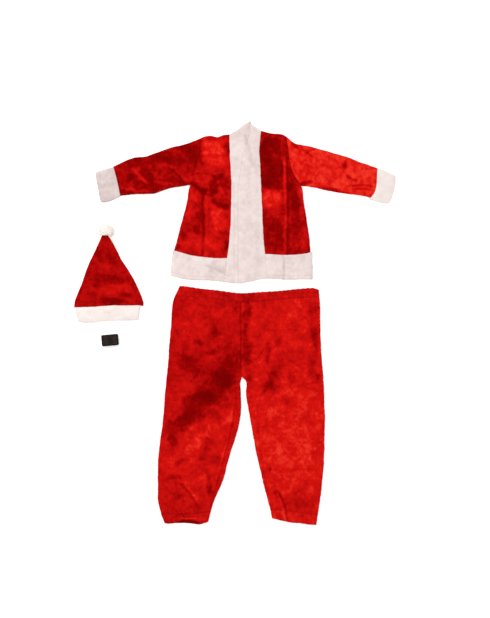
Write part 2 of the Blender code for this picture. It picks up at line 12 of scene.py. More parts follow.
import bmesh
import bpy
import numpy as np
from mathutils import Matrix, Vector


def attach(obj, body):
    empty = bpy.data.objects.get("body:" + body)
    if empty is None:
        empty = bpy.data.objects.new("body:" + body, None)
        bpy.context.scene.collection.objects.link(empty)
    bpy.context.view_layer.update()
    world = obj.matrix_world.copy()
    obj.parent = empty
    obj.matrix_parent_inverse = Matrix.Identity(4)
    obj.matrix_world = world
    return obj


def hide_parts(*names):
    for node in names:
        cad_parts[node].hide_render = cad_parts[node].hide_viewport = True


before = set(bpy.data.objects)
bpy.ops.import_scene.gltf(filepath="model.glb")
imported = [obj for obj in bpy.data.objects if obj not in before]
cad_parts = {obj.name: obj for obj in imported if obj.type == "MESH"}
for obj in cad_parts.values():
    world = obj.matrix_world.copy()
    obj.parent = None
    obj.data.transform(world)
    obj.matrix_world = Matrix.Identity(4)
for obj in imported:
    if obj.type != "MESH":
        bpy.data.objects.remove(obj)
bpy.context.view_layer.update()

MM = 0.001


def rows(kind, *table):
    """A table's rows by the names of its columns."""
    return tuple(kind(*row) for row in table)


BACK_STEP = 7.0  # between the points of a hidden layer, in millimetres
SEAM_OVERLAP = 0.5  # each piece goes this far past the line of its seam, where the piles mingle
SEAM_GAP = 0.3  # between the front and the back at a side seam
SEAM_DIP = 0.9  # how far sewing pulls the pile down, and over what distance
DIP_REACH = 5.0
PUFF_REACH = 6.0

# Where each garment's origin lies on the floor.
JACKET_AT = (32.0, 120.0)
TROUSERS_AT = (25.0, -165.0)
HAT_AT = (-382.0, 4.0)
BELT_AT = (-376.5, -51.5)

# Jacket.
UNDERARM = 293.0
Body = namedtuple("Body", "y side_right seam_right seam_left side_left")
BODY = rows(Body,
    (75, -221, -56, 58, 195), (110, -212, -51.5, 54, 192), (150, -201, -47.5, 52, 188),
    (200, -188, -45, 49, 180.5), (245, -177, -44, 47, 173), (UNDERARM, -168, -43.5, 45, 165.5),
    (320, -157, -44.5, 43.5, 147), (354, -148, -46.5, 42.5, 134), (399, -141, -47.5, 39.5, 127),
    (440, -134, -49, 43, 120),
)
# Lines across the jacket, as (x, y).
HEM_SEAM = ((-222, 99), (-157, 82), (-104, 75), (-57, 74), (59, 86), (122, 84), (162, 86), (200, 92))
HEM_EDGE = ((-229, 22), (-165, 10), (-119, 9), (-73, 4), (-20, -1), (46, 12), (123, 11), (204, 12))
SHOULDER_RIGHT = ((-135, 436), (-119, 441), (-104, 442), (-85, 438), (-69, 444), (-50, 446))
SHOULDER_LEFT = ((45, 457), (78, 449), (112, 445), (120, 440))
BACK_NECK = ((-50, 440), (0, 436), (45, 449))
NECK_FOLD = ((-50, 446), (-27, 459), (-12, 471), (5, 482), (13, 486), (17, 476), (30, 467), (45, 457))
UNDER_BAND_TOP = ((-50, 446), (-27, 459), (-12, 471), (5, 482), (12, 484), (20, 452))
OVER_BAND_TOP = ((8, 479), (17, 476), (30, 467), (45, 457))
HEM_SIDES = ((8, -229, 200), (95, -220, 199))  # y, right side, left side
# The left front band lies over the right one: its free edge, as (y, x), and the right band's hidden edge.
OVER_BAND_EDGE = ((0, -22), (300, -21), (340, -16), (380, -8), (420, 2), (460, 11), (480, 13))
UNDER_BAND_EDGE_X = 20.0
NAPE = (-45, 40)  # the ends of the strip behind the neck
OVER_BAND_SLOPE = (24, 44)  # x over which the upper band comes down to its own front
OVER_BAND_RISE = 3.2

# Sleeves, as x, lower edge and upper edge.
Sleeve = namedtuple("Sleeve", "x low high")
SLEEVE_RIGHT = rows(Sleeve,
    (-400, 259, 349), (-340, 267, 375), (-300, 268, 380), (-275, 270, 389), (-227, 285, 406),
    (-172, 294, 420), (-133, 298, 437),
)
SLEEVE_LEFT = rows(Sleeve,
    (118, 295, 441), (146, 294, 421), (200, 289, 408), (235, 280, 398), (304, 269, 378), (352, 262, 360),
    (398, 249, 343),
)
CUFF_SEAM_RIGHT = ((262, -378), (302, -386), (348, -398))  # y, x
CUFF_SEAM_LEFT = ((252, 371), (271, 386), (341, 395))
CUFF_END_RIGHT = ((243, -436), (281, -444), (317, -450), (333, -450))
CUFF_END_LEFT = ((240, 430), (260, 438), (308, 449), (322, 449))
CUFF_RIGHT = rows(Sleeve, (-449, 250, 334), (-434, 243, 338), (-414, 245, 344), (-378, 260, 354))
CUFF_LEFT = rows(Sleeve, (370, 252, 350), (396, 244, 345), (420, 239, 336), (450, 244, 322))

# Trousers.
CROTCH = -2.0
Legs = namedtuple("Legs", "y outer_right inner_right inner_left outer_left")
LEGS = rows(Legs,
    (-440, -236, -109, 87, 218), (-402, -250, -99, 82, 223), (-366, -257, -88, 72, 229),
    (-312, -257, -64, 58, 236), (-258, -258, -50, 45, 240), (-204, -252, -34, 33, 242),
    (-150, -245, -16, 25, 243), (-96, -239, -8, 15, 243), (-42, -236, -9, 7, 241),
    (-14, -233, -11, 8, 240), (CROTCH - 3, -232, -9, 3, 239), (CROTCH + 4, -231, -7, -5, 239),
    (12, -230, -6, -6, 238), (84, -224, -6, -6, 233), (160, -218, -6, -6, 230), (232, -211, -6, -6, 228),
    (276, -192, -6, -6, 224),
)
WAIST_SEAM = ((-192, 245), (-82, 237), (8, 227), (118, 236), (227, 243))
WAIST_EDGE = (
    (-195, 276), (-178, 275), (-130, 268), (-82, 263), (-7, 254),
    (28, 256), (118, 262), (167, 267), (217, 268), (227, 263),
)
ANKLE_SEAM_RIGHT = ((-250, -408), (-170, -409), (-95, -402))
ANKLE_SEAM_LEFT = ((80, -394), (150, -403), (225, -411))
ANKLE_EDGE_RIGHT = ((-240, -436), (-181, -436), (-131, -440), (-108, -434))
ANKLE_EDGE_LEFT = ((85, -421), (132, -431), (197, -441), (218, -442))
WAIST_SCALLOP = (0.9, 15)  # depth and length of the waves of the gathered top
MOUTH = (-215, -115, 11)  # x from, x to, and how far the right ankle's front stands back from its rear

# Hat.
Cone = namedtuple("Cone", "y right left")
CONE = rows(Cone,
    (40, -102, 105), (62, -100, 104), (111, -80, 84), (160, -63, 57), (186, -52, 40), (239, -26, 12),
    (258, -17, 1),
)
BRIM_SEAM = ((-101, 43), (-33, 45), (22, 48), (104, 48))
BRIM_EDGE = ((-98, 0), (-61, -2), (-5, 2), (97, 5))
BRIM_SIDES = ((0, -89, 90), (20, -96, 93), (48, -99, 97))  # y, right side, left side
HAT_TIP_Y = 258.0
TIP_RISE = (195, HAT_TIP_Y, 8)  # from y, to y, height gained there
POMPOM_CENTRE = (-4, 270)
POMPOM_REACH = (24, 20.5, 19)  # half its width, length and height
POMPOM_DENT = (-5, 11, 17, -10.5)  # the hat's tip sits at this x, out to these two reaches, up to this y
POMPOM_TUFTS = 3400
TUFT_RINGS = ((0.84, 1.6), (0.94, 1.4), (1, 0.4))  # share of the way out from the middle, and half thickness

# Rows of stitches.
STITCH_LENGTH = 3.2
STITCH_PITCH = 4.8
STITCH_THICK = 0.42

# Belt: a strap rolled up flat.
BELT_WIDTH = 34.0
BELT_THICKNESS = 1.4
BELT_ROLL = (53, 16)  # length and height of the roll
BELT_TURNS = 4.6
BELT_TILT_DEG = 5.0
BELT_SQUARENESS = 0.55  # below 1, the turns are flat above and below and round at their ends
BELT_START = -0.35 * math.pi  # where round the roll the inner end lies
STRAP_END = 0.012  # share of the strap over which each end is cut round
# Painted highlights in bands across the roll, mostly near its right end where the turns bend over.
BELT_PAINTED_HIGHLIGHTS = ((18.5, 1.6, 0.45), (12.5, 1.2, 0.2), (-14, 5, 0.1))  # x, reach and how bright

# Creases: a bowed line from one end to the other, its reach to each side, its height, and how much brighter,
# as painted highlight, or darker, as painted shade, the cloth is along it.
Crease = namedtuple("Crease", "x0 y0 x1 y1 bow width height shade")
JACKET_CREASES = rows(Crease,
    (-130, 275, -131, 84, 3, 3.5, -1.6, -0.65), (-120, 262, -121, 84, 3, 4, 1.4, 0.3),
    (-152, 318, -100, 290, 6, 5, 1.6, 0.25), (-150, 306, -112, 262, -5, 5, -1.5, -0.3),
    (-128, 330, -98, 268, 4, 5, 1.2, 0.2), (-90, 300, -60, 250, 3, 6, 1.3, 0.3),
    (-166, 300, -120, 262, 3, 2.5, -1, -0.45), (-164, 312, -108, 300, -3, 2.5, 1, 0.4),
    (-160, 327, -104, 324, 4, 3, -0.9, -0.4), (-166, 284, -142, 238, -3, 3, 1, 0.35),
    (-150, 334, -112, 346, 2, 2.5, 0.8, 0.3), (-104, 262, -70, 232, 2, 3, -0.9, -0.35),
    (115, 366, 116, 92, 3, 4, 1.8, 0.65), (124, 380, 124, 92, 3, 3.5, -1.6, -0.6),
    (108, 380, 108, 285, 1, 3, -0.8, -0.35), (-231, 342, -189, 306, 3, 4, -1.5, -0.5),
    (-330, 340, -250, 350, 6, 7, 1.2, 0.15), (176, 384, 206, 402, 2, 3.5, -1.4, -0.7),
    (172, 398, 196, 378, 2, 3.5, -1.2, -0.6), (165, 360, 200, 345, 2, 4, -1, -0.3),
    (322, 291, 376, 290, 4, 3, -1.2, -0.8), (322, 281, 376, 279, 3, 3, -1.2, -0.6),
    (225, 330, 310, 318, 5, 8, 1.2, 0.1),
)
TROUSER_CREASES = rows(Crease,
    (-185, -322, -146, -376, 4, 4, -1.6, -0.6), (-177, -318, -138, -372, 4, 4, 1.4, 0.45),
    (-22, -60, -93, -354, 8, 3, -1, -0.35), (-28, -60, -99, -354, 8, 2.5, 0.8, 0.35),
    (137, 53, 176, 28, 2, 3, -1.2, -0.45), (160, -26, 226, -14, 3, 3, -1.2, -0.4),
    (176, -28, 228, -40, -2, 3, -1, -0.35), (112, -282, 215, -277, 5, 4, -1.3, -0.35),
    (109, -347, 132, -425, 2, 3.5, -2, -0.8), (103, -350, 126, -425, 2, 3.5, 1.6, 0.4),
    (40, -80, 70, -330, -6, 3, -0.8, -0.3), (-40, -20, -190, -140, -8, 10, -1.4, -0.1),
    (-52, -50, -170, -165, -6, 8, 1.5, 0.2), (70, 60, 110, -60, 6, 8, -1.2, -0.1),
    (16, 44, 60, 88, -8, 2.5, -0.9, -0.45), (22, 34, 70, 72, -8, 2.5, 0.8, 0.35),
    (60, 30, 84, -30, 6, 2.5, -0.8, -0.35), (-9, 220, -9, 20, 0, 2.5, -1, -0.35),
)
HAT_CREASES = rows(Crease,
    (-60, 88, 40, 104, 8, 7, 1.4, 0.2), (-40, 128, 44, 118, -4, 6, -1.3, -0.25),
    (-30, 160, 30, 148, 3, 6, 1.1, 0.15), (-20, 200, -8, 244, 2, 4, -0.8, -0.15),
)
WHITE_CREASES = rows(Crease,
    (12, 482, 2, 426, -2, 6, -1, -0.4), (2, 426, 16, 368, 3, 7, -0.9, -0.35),
    (-30, 372, -2, 352, 3, 6, -0.6, -0.25), (112, 84, 113, 14, 2, 3, -1, -0.6),
    (-117, 50, -62, 25, 3, 5, -0.9, -0.4), (-38, 300, -36, 10, 2, 2, -0.5, -0.3),
)

# Patches where the pile lies another way, one on the bands painted shade: centre, half lengths, turn, tone from
# -1 dark to +1 bright, softness of the edge where it isn't the nap's own, and power, above 2 for a patch nearer
# a rectangle.
# A nap has its own tone, how much the pile is mottled, the softness of its patches, and the patches.
Patch = namedtuple("Patch", "x y long wide turn tone soft power", defaults=(2,))
Nap = namedtuple("Nap", "base rough patches")


def nap(base, rough, soft, *patches):
    """A nap from its table of patches, each with the nap's softness where it gives none of its own."""
    return Nap(base, rough, [Patch(*row) if len(row) > 6 else Patch(*row, soft) for row in patches])


RIGHT_FRONT_NAP = nap(0, 1.3, 0.65,
    (-95, 392, 36, 48, 0, 0.55, 0.4), (-140, 395, 9, 32, 8, -0.6), (-58, 400, 10, 16, 0, -0.75),
    (-105, 436, 22, 5, 0, -0.4), (-92, 378, 26, 5, 5, -0.35, 0.6), (-84, 318, 15, 13, 20, -0.8, 0.4),
    (-64, 300, 14, 22, 20, -0.5), (-95, 283, 13, 24, 0, -0.9, 0.4), (-124, 277, 10, 6, 0, -0.7, 0.4),
    (-147, 285, 28, 8, -40, -0.9, 0.4), (-76, 232, 28, 9, -30, -1, 0.4), (-60, 243, 18, 9, -40, -0.4),
    (-110, 202, 9, 18, 0, -0.6), (-140, 225, 12, 40, 0, -0.4, 0.6), (-165, 190, 20, 32, 15, -0.3),
    (-166, 208, 10, 16, 0, 0.5), (-90, 200, 22, 55, 5, 0.35, 0.6), (-150, 158, 10, 12, 0, -0.6),
    (-186, 150, 8, 12, 0, -0.5), (-64, 152, 16, 8, 0, -0.3), (-100, 120, 30, 26, 0, 0.3, 0.6),
    (-182, 120, 20, 8, 10, 0.3), (-206, 106, 7, 10, 0, -0.6), (-58, 108, 6, 14, 0, -0.5),
    (-60, 435, 6, 10, 0, 0.4),
)
LEFT_FRONT_NAP = nap(-0.2, 1.3, 0.5,
    (76, 360, 32, 76, 0, -0.5, 0.08, 6), (76, 255, 32, 26, -8, 0.75, 0.3), (86, 215, 20, 30, 0, 0.3),
    (76, 150, 34, 60, 0, -0.3), (145, 250, 16, 110, 5, -0.35), (170, 235, 10, 50, 0, 0.45),
    (135, 96, 30, 12, 0, -0.4), (175, 130, 10, 30, 0, 0.15), (130, 285, 14, 10, 0, -0.5),
)
RIGHT_SLEEVE_NAP = nap(-0.5, 1.3, 0.5,
    (-320, 324, 24, 5, -48, 0.7), (-312, 309, 10, 6, 0, 0.4), (-288, 315, 8, 18, 10, -0.4),
    (-346, 318, 12, 12, 0, -0.3), (-231, 352, 22, 6, -35, 0.5), (-230, 338, 8, 8, 0, 0.4),
    (-190, 345, 10, 10, 0, 0.5), (-198, 322, 30, 14, 10, 0.45), (-168, 310, 24, 6, 0, 0.5),
    (-330, 279, 50, 5, -4, 0.55, 0.4), (-250, 300, 40, 5, -10, 0.4, 0.4), (-175, 400, 34, 16, -15, -0.4),
    (-260, 370, 40, 8, 15, -0.2),
)
LEFT_SLEEVE_NAP = nap(0.7, 1, 0.4,
    (150, 410, 14, 7, -25, -0.9), (178, 298, 18, 8, 0, -1.2), (296, 351, 5, 11, -20, -0.95, 0.8),
    (330, 309, 5, 4, 0, -0.9, 0.8), (312, 314, 10, 3, -30, -0.9), (268, 275, 42, 6, -10, -0.9),
)
RIGHT_LEG_NAP = nap(0.05, 1, 0.8,
    (-40, 40, 50, 40, 45, -0.6), (-40, -12, 22, 20, 40, -0.4, 0.4), (-85, -25, 55, 42, 40, -0.6, 0.35),
    (-140, -85, 55, 38, 38, -0.6, 0.35), (-200, -145, 40, 30, 40, -0.5, 0.4),
    (-45, -115, 30, 20, 50, 0.35, 0.4), (-95, -160, 55, 22, 38, 0.32, 0.5),
    (-150, -200, 40, 14, 42, 0.22, 0.5), (-146, 40, 34, 26, 0, -0.4), (-176, 52, 22, 30, 0, -0.35),
    (-104, 76, 24, 10, 10, -0.4), (-90, 138, 16, 14, 0, -0.5), (-135, 106, 14, 8, 0, -0.45),
    (-97, -195, 12, 16, 0, -0.4), (-214, -190, 14, 24, 20, -0.5, 0.4),
    (-150, -250, 110, 110, 0, 0.25, 0.6), (-116, -222, 12, 20, -10, -0.6), (-190, -258, 18, 10, 0, -0.5),
    (-84, -250, 16, 14, 20, -0.6), (-130, -310, 34, 16, 0, 0.3, 0.6), (-102, -322, 10, 30, 10, -0.7, 0.4),
    (-206, -300, 22, 9, -10, -0.5), (-198, -354, 14, 8, 0, -0.5), (-170, -427, 34, 4, 0, 0.7),
)
LEFT_LEG_NAP = nap(0.3, 1, 0.8,
    (130, -220, 110, 190, 0, 0.25), (8, 90, 12, 60, 0, -0.8), (12, 0, 10, 10, 0, -0.8),
    (68, 57, 10, 14, 0, -0.45), (94, 12, 48, 15, 66, -0.6, 0.7), (62, -44, 16, 6, 60, -0.55, 0.7),
    (86, -27, 36, 14, -10, -0.55, 0.6), (140, 2, 10, 18, 0, -0.5), (106, 104, 9, 14, 0, -0.6),
    (70, 80, 8, 26, 0, -0.5), (216, 112, 8, 38, 0, -0.7), (205, 140, 10, 26, 0, -0.4),
    (205, 40, 12, 40, 0, -0.5), (210, 205, 14, 24, 0, -0.6), (222, 2, 10, 10, 0, -0.7),
    (40, 122, 10, 8, 0, -0.5), (8, 190, 12, 52, 0, -0.65, 0.4), (73, -276, 5, 6, 0, -0.8),
    (98, -354, 9, 12, 0, -0.7, 0.4), (165, -372, 36, 26, 0, -0.4), (140, -75, 20, 12, 0, -0.3),
    (95, -128, 12, 14, 0, -0.35),
)
HAT_NAP = nap(-0.2, 0.6, 0.5,
    (14, 58, 36, 10, 0, -0.7), (50, 82, 14, 8, 0, -0.25), (-54, 82, 14, 8, 0, -0.15),
    (-87, 90, 6, 10, 0, -0.4), (24, 95, 44, 9, 0, 0.3), (45, 112, 28, 7, -20, 0.35),
    (-35, 103, 14, 8, 0, -0.4), (4, 129, 42, 9, -18, -0.45), (-38, 120, 10, 16, 0, -0.15),
    (-20, 158, 14, 6, 0, -0.15), (-15, 165, 18, 14, 0, 0.35), (18, 180, 10, 12, 0, -0.35),
    (-4, 195, 20, 18, 0, -0.3, 0.6), (-33, 205, 8, 12, 0, -0.5),
)
BACK_NAP = nap(0, 1, 0.6)
WAIST_NAP = nap(0.1, 1, 0.6, (10, 250, 22, 30, 0, -0.4))
# The first patch on the bands is painted shade below the fold at the neck; the second darkens a long stripe
# down them.
BAND_TONE_AND_FOLD_SHADE = nap(0, 1, 0.7, (5, 395, 14, 36, 20, -0.2), (8, 200, 10, 110, 0, -0.15, 0.6))
HEM_NAP = nap(-0.05, 1.3, 0.6, (-90, 40, 34, 12, -25, -0.2), (-170, 60, 20, 20, 0, 0.15))
RIGHT_CUFF_NAP = nap(-0.55, 1, 0.6, (-400, 300, 12, 40, 0, -0.2))
LEFT_CUFF_NAP = nap(0.45, 1, 0.6)
BRIM_NAP = nap(0.5, 1, 0.6)

# Studio, in metres.
TABLE_REACH = 30.0
WORLD_STRENGTH = 0.64
Lamp = namedtuple("Lamp", "name place watts size")
LAMPS = rows(Lamp,
    ("softbox_key", (-1.6, 1.5, 2.6), 52.0, 1.6),
    ("softbox_fill", (1.9, -0.8, 2.8), 13.0, 2.0),
)
CAMERA_AT = (0.029, 0.042, 3.615)
CAMERA_LENS = 70.0

# How a layer of cloth is divided where it ends: the angles of a quarter round, and the rows of a cut
# edge as shares of half the wall.
ROLL_ANGLES = np.array([15.0, 30, 45, 58, 68, 76, 82, 86.5, 90])
EDGE_ROWS = np.array([0.5, 0.13, 0.0])
FAR_FROM_EDGE = 99.0
PLAN_ROUNDS = 14  # enough for the corners to settle
Run = namedtuple("Run", "share offset slack lean reach layer")
Layer = namedtuple("Layer", "points x y rolled side border")


def smooth_line(knots):
    """A function of one number through the knots: cubic between them, straight beyond them."""
    x, y = np.array(sorted(knots), float).T
    rise = np.diff(y) / np.diff(x)
    slope = np.concatenate([rise[:1], (rise[:-1] + rise[1:]) / 2, rise[-1:]])

    def at(where):
        where = np.asarray(where, float)
        i = np.clip(np.searchsorted(x, where) - 1, 0, len(x) - 2)
        step = x[i + 1] - x[i]
        t = np.clip((where - x[i]) / step, 0, 1)
        curve = (
            (2 * t**3 - 3 * t**2 + 1) * y[i]
            + (t**3 - 2 * t**2 + t) * step * slope[i]
            + (3 * t**2 - 2 * t**3) * y[i + 1]
            + (t**3 - t**2) * step * slope[i + 1]
        )
        beyond = np.minimum(where - x[0], 0) * slope[0] + np.maximum(where - x[-1], 0) * slope[-1]
        return curve + beyond

    return at


def column(table, name, key="y"):
    """The smooth line of one named column of a table, against its key column."""
    return smooth_line([(getattr(row, key), getattr(row, name)) for row in table])


def level(value):
    """A line that has the same value everywhere."""
    return lambda where: np.full_like(np.asarray(where, float), value)


def smooth_step(start, end, value):
    """0 before start, 1 after end, and a smooth rise between them."""
    t = np.clip((value - start) / (end - start), 0, 1)
    return t * t * (3 - 2 * t)


def soft_noise(x, y, size, seed):
    """Smooth bumps of about that size, from -1 to 1: seeded values on a turned lattice, blended between."""
    values = np.random.default_rng(seed).uniform(-1, 1, (64, 64))
    x, y = np.broadcast_arrays(np.asarray(x, float), np.asarray(y, float))
    u = (x * math.cos(seed) - y * math.sin(seed)) / size
    v = (x * math.sin(seed) + y * math.cos(seed)) / size
    i, j = np.floor(u).astype(int), np.floor(v).astype(int)
    s, t = smooth_step(0, 1, u - i), smooth_step(0, 1, v - j)
    lower = values[i % 64, j % 64] * (1 - s) + values[(i + 1) % 64, j % 64] * s
    upper = values[i % 64, (j + 1) % 64] * (1 - s) + values[(i + 1) % 64, (j + 1) % 64] * s
    return lower * (1 - t) + upper * t


def wavy(line, size, depth, seed):
    """The line with soft unevenness of that size and depth, and the fuzz of the pile's ends on it."""

    def at(where):
        fuzz = 0.5 * soft_noise(where, 0.0, 6.5, seed + 1)
        return line(where) + depth * soft_noise(where, 0.0, size, seed) + fuzz

    return at


def scalloped(line, depth, length, seed):
    """The line with waves of that depth and length, as a gathered edge has, uneven along it."""

    def at(where):
        phase = 2 * math.pi * np.asarray(where) / length + 2.2 * soft_noise(where, 0.0, 3 * length, seed)
        return line(where) + depth * np.cos(phase) * (0.7 + 0.4 * soft_noise(where, 0.0, 2 * length, seed + 1))

    return at


def crease_weight(x, y, crease):
    """1 on the crease's bowed line, falling as a bell to both sides and past both ends, uneven in reach."""
    dx, dy = crease.x1 - crease.x0, crease.y1 - crease.y0
    length = math.hypot(dx, dy)
    run = ((x - crease.x0) * dx + (y - crease.y0) * dy) / length
    away = ((y - crease.y0) * dx - (x - crease.x0) * dy) / length
    share = np.clip(run / length, 0, 1)
    bend = crease.bow * 4 * share * (1 - share) + 1.2 * soft_noise(x, y, 24, 31)
    past = np.maximum(np.maximum(-run, run - length), 0)
    reach = crease.width * (1 + 0.3 * soft_noise(x, y, 30, 5))
    strength = 0.85 + 0.3 * soft_noise(x, y, 22, 8)
    return strength * np.exp(-(((away - bend) / reach) ** 2) - (past / (2 * crease.width)) ** 2)


def swells(creases, seed, size=1.0, gathers=None):
    """A function for the height of laid cloth: broad swells, smaller ripples, its creases and gathers."""

    def at(x, y):
        total = 0.8 * soft_noise(x, y, 95, seed) + 0.5 * soft_noise(x, y, 38, seed + 1)
        total = size * (total + 0.2 * soft_noise(x, y, 15, seed + 2))
        for crease in creases:
            total = total + crease.height * crease_weight(x, y, crease)
        return total if gathers is None else total + gathers(x, y)

    return at


def elastic_gathers(x, y):
    """Ridges that run up and down from the elastic at the waist and the ankles, and fade into the legs."""
    waist = smooth_step(150, 238, y) ** 2
    ankle = 1 - smooth_step(-408, -350, y)
    slow = 2.6 * soft_noise(x, y, 60, 41)
    ridges = np.sin(2 * math.pi * (x + 4 * soft_noise(x, y, 40, 42)) / 13 + slow)
    return ridges * (1.1 * waist + 0.8 * ankle) * (0.75 + 0.5 * soft_noise(x, y, 26, 43))


def pile_tone_and_crease_shading(x, y, nap, creases, seed):
    """How the pile lies, -1 dark to 1 bright: the piece's own tone, mottling and patches, and painted shade and
    highlight along its creases.
    """
    warped_x = x + 6 * soft_noise(x, y, 30, seed + 3) + 2.5 * soft_noise(x, y, 11, seed + 4)
    warped_y = y + 6 * soft_noise(x, y, 30, seed + 5) + 2.5 * soft_noise(x, y, 11, seed + 6)
    mottling = 0.18 * soft_noise(x, y, 26, seed + 7) + 0.15 * soft_noise(x, y, 10, seed + 8)
    lean = nap.base + nap.rough * (mottling + 0.1 * soft_noise(x, y, 6, seed + 11))
    for patch in nap.patches:
        turn = math.radians(patch.turn)
        dx, dy = warped_x - patch.x, warped_y - patch.y
        u = np.abs(dx * math.cos(turn) + dy * math.sin(turn)) / patch.long
        v = np.abs(dy * math.cos(turn) - dx * math.sin(turn)) / patch.wide
        out = (u**patch.power + v**patch.power) ** (1 / patch.power)
        lean = lean + patch.tone * (1 - smooth_step(1 - patch.soft, 1 + patch.soft, out))
    # Painted shade along the creases' troughs and painted highlight along their ridges.
    for crease in creases:
        lean = lean + crease.shade * crease_weight(x, y, crease)
    return lean


def side_rows(kind, radius, wall):
    """One side of a layer, from the inside out: depth, slack, lean and distance to the cut edge."""
    if kind == "edge":
        rows = EDGE_ROWS * wall / 2
        return rows - SEAM_OVERLAP, 0 * rows, 0 * rows, rows
    bend = np.sin(np.radians(ROLL_ANGLES))
    share = ROLL_ANGLES / 90
    reach = radius * (1 - share) if kind == "roll" else np.full_like(share, FAR_FROM_EDGE)
    return radius * (1 - bend) - SEAM_OVERLAP, radius * (bend - share), ROLL_ANGLES, reach


def across(width, kinds, cloth, layer=1, step=None):
    """Places across a layer about that wide, from its first side to its last, each at a share plus an offset.

    A side is an "edge", cut and rounded over; a "roll", a quarter round down to a seam; or a "fold",
    a quarter round that goes on in the other layer.
    """
    kinds, radius = kinds.split(), cloth.height / 2
    depths, slacks, leans, reaches = zip(*[side_rows(kind, radius, cloth.wall) for kind in kinds])
    margins = [(cloth.wall / 2 if kind == "edge" else radius) - SEAM_OVERLAP for kind in kinds]
    count = max(int(round(width / (step or cloth.step))), 2)
    share = np.linspace(0, 1, count)
    inner = np.zeros(count)
    first, last = len(depths[0]), len(depths[1])
    return Run(
        np.concatenate([np.zeros(first), share, np.ones(last)]),
        np.concatenate([depths[0][::-1], margins[0] - share * sum(margins), -depths[1]]),
        np.concatenate([slacks[0][::-1], inner, -slacks[1]]),
        np.concatenate([-leans[0][::-1], inner, leans[1]]),
        np.concatenate([reaches[0][::-1], inner + FAR_FROM_EDGE, reaches[1]]),
        np.full(first + count + last, layer),
    )


def backwards(run):
    return Run(*[values[::-1] for values in run])


def joined(first, second):
    """Two runs end to end, where the second starts at the place that the first ends at."""
    return Run(*[np.concatenate([a, b[1:]]) for a, b in zip(first, second)])


def ring(width, cloth, back_step=BACK_STEP):
    """Over the front layer and back along the rear one: a closed flattened tube."""
    over, under = across(width, "fold fold", cloth), across(width, "fold fold", cloth, -1, back_step)
    return Run(*[values[:-1] for values in joined(over, backwards(under))])


def as_axis(run, axis):
    """The run's values as a column for X, axis 0, or a row for Y, axis 1."""
    return Run(*[values[:, None] if axis == 0 else values[None, :] for values in run])


def always(x, y):
    return np.ones_like(x)


def plan(edges, u, v, close_u, close_v):
    """Points of a piece on the floor: the sides are lines x(y) and the ends y(x), found back and forth."""
    left, right, low, high = edges
    x = np.full(np.broadcast(u.share, v.share).shape, float(left(0.0) + right(0.0)) / 2)
    y = (low(x) + high(x)) / 2
    for _ in range(PLAN_ROUNDS):
        x_offset = u.offset + u.slack * (1 - close_u(x, y))
        y_offset = v.offset + v.slack * (1 - close_v(x, y))
        x = left(y) + x_offset + u.share * (right(y) - left(y))
        y = low(x) + y_offset + v.share * (high(x) - low(x))
    return x, y


def laid(edges, u, v, height, shape, close_u=always, close_v=always, dips=(), puff=0.0, lift=None, gap=0.0):
    """A layer or tube of laid cloth: its level plus the shape's relief, rolled down to half height at seams.

    The pile dips beside the seams that are named in dips, and puff is how far a trim swells inside its edges.
    """
    x, y = plan(edges, u, v, close_u, close_v)
    closed_u, closed_v = close_u(x, y), close_v(x, y)
    bend_u = np.sin(np.radians(np.abs(u.lean))) * closed_u
    bend_v = np.sin(np.radians(np.abs(v.lean))) * closed_v
    rolled = 1 - np.sqrt(np.maximum(1 - bend_u**2 - bend_v**2, 0))
    side = u.layer * v.layer + np.zeros_like(x)
    left, right, low, high = edges
    room = {"left": x - left(y), "right": right(y) - x, "low": y - low(x), "high": high(x) - y}
    base = height(x, y) if callable(height) else height + np.zeros_like(x)
    middle = base.min() / 2
    relief = shape(x, y) + puff * (1 - np.exp(-np.maximum(np.min(list(room.values()), axis=0), 0) / PUFF_REACH))
    for name in dips:
        relief = relief - SEAM_DIP * np.exp(-((room[name] / DIP_REACH) ** 2))
    top = base + relief
    over = top - rolled * (top - middle - gap / 2)
    under = 0.5 * np.maximum(relief, 0) * (1 - rolled) + rolled * (middle - gap / 2)
    z = np.where(side > 0, over, under)
    if lift is not None:
        z = z + lift(x, y)
    border = np.minimum(to_cut_edge(u, closed_u), to_cut_edge(v, closed_v))
    return Layer(np.stack([x, y, z], axis=-1), x, y, rolled, side, border)


def to_cut_edge(run, closed):
    """Distance along the cloth to the cut edge: a rolled stretch is longer by its arc."""
    return run.reach * (1 + (math.pi / 2 - 1) * closed * (run.lean != 0))


def face_normals(points, ringed):
    """Unit normals of a grid of points: the cross product of its slopes both ways."""
    if ringed:
        points = np.concatenate([points[-1:], points, points[:1]])
    normals = np.cross(np.gradient(points, axis=0), np.gradient(points, axis=1))
    if ringed:
        normals = normals[1:-1]
    return normals / np.maximum(np.linalg.norm(normals, axis=-1, keepdims=True), 1e-9)


def quads(grid, ringed=True):
    """The faces between a grid of points' numbers, whose first axis may be closed on itself."""
    if ringed:
        grid = np.concatenate([grid, grid[:1]])
    return np.stack([grid[:-1, :-1], grid[1:, :-1], grid[1:, 1:], grid[:-1, 1:]], axis=-1).reshape(-1, 4)


def put_mesh(name, points, faces, material, **values):
    """An object at the origin from points in millimetres and faces of equal size, with point attributes."""
    used, faces_now = np.unique(faces, return_inverse=True)
    faces_now = faces_now.reshape(faces.shape)
    mesh = bpy.data.meshes.new(name)
    mesh.vertices.add(len(used))
    mesh.vertices.foreach_set("co", (points[used] * MM).astype(np.float32).ravel())
    mesh.loops.add(faces_now.size)
    mesh.loops.foreach_set("vertex_index", faces_now.astype(np.int32).ravel())
    mesh.polygons.add(len(faces_now))
    mesh.polygons.foreach_set("loop_start", np.arange(0, faces_now.size, faces.shape[1], dtype=np.int32))
    mesh.update(calc_edges=True)
    mesh.validate()
    mesh.shade_smooth()
    for key, value in values.items():
        attribute = mesh.attributes.new(key, "FLOAT", "POINT")
        attribute.data.foreach_set("value", value[used].astype(np.float32))
    mesh.materials.append(material)
    obj = bpy.data.objects.new(name, mesh)
    bpy.context.scene.collection.objects.link(obj)
    return obj


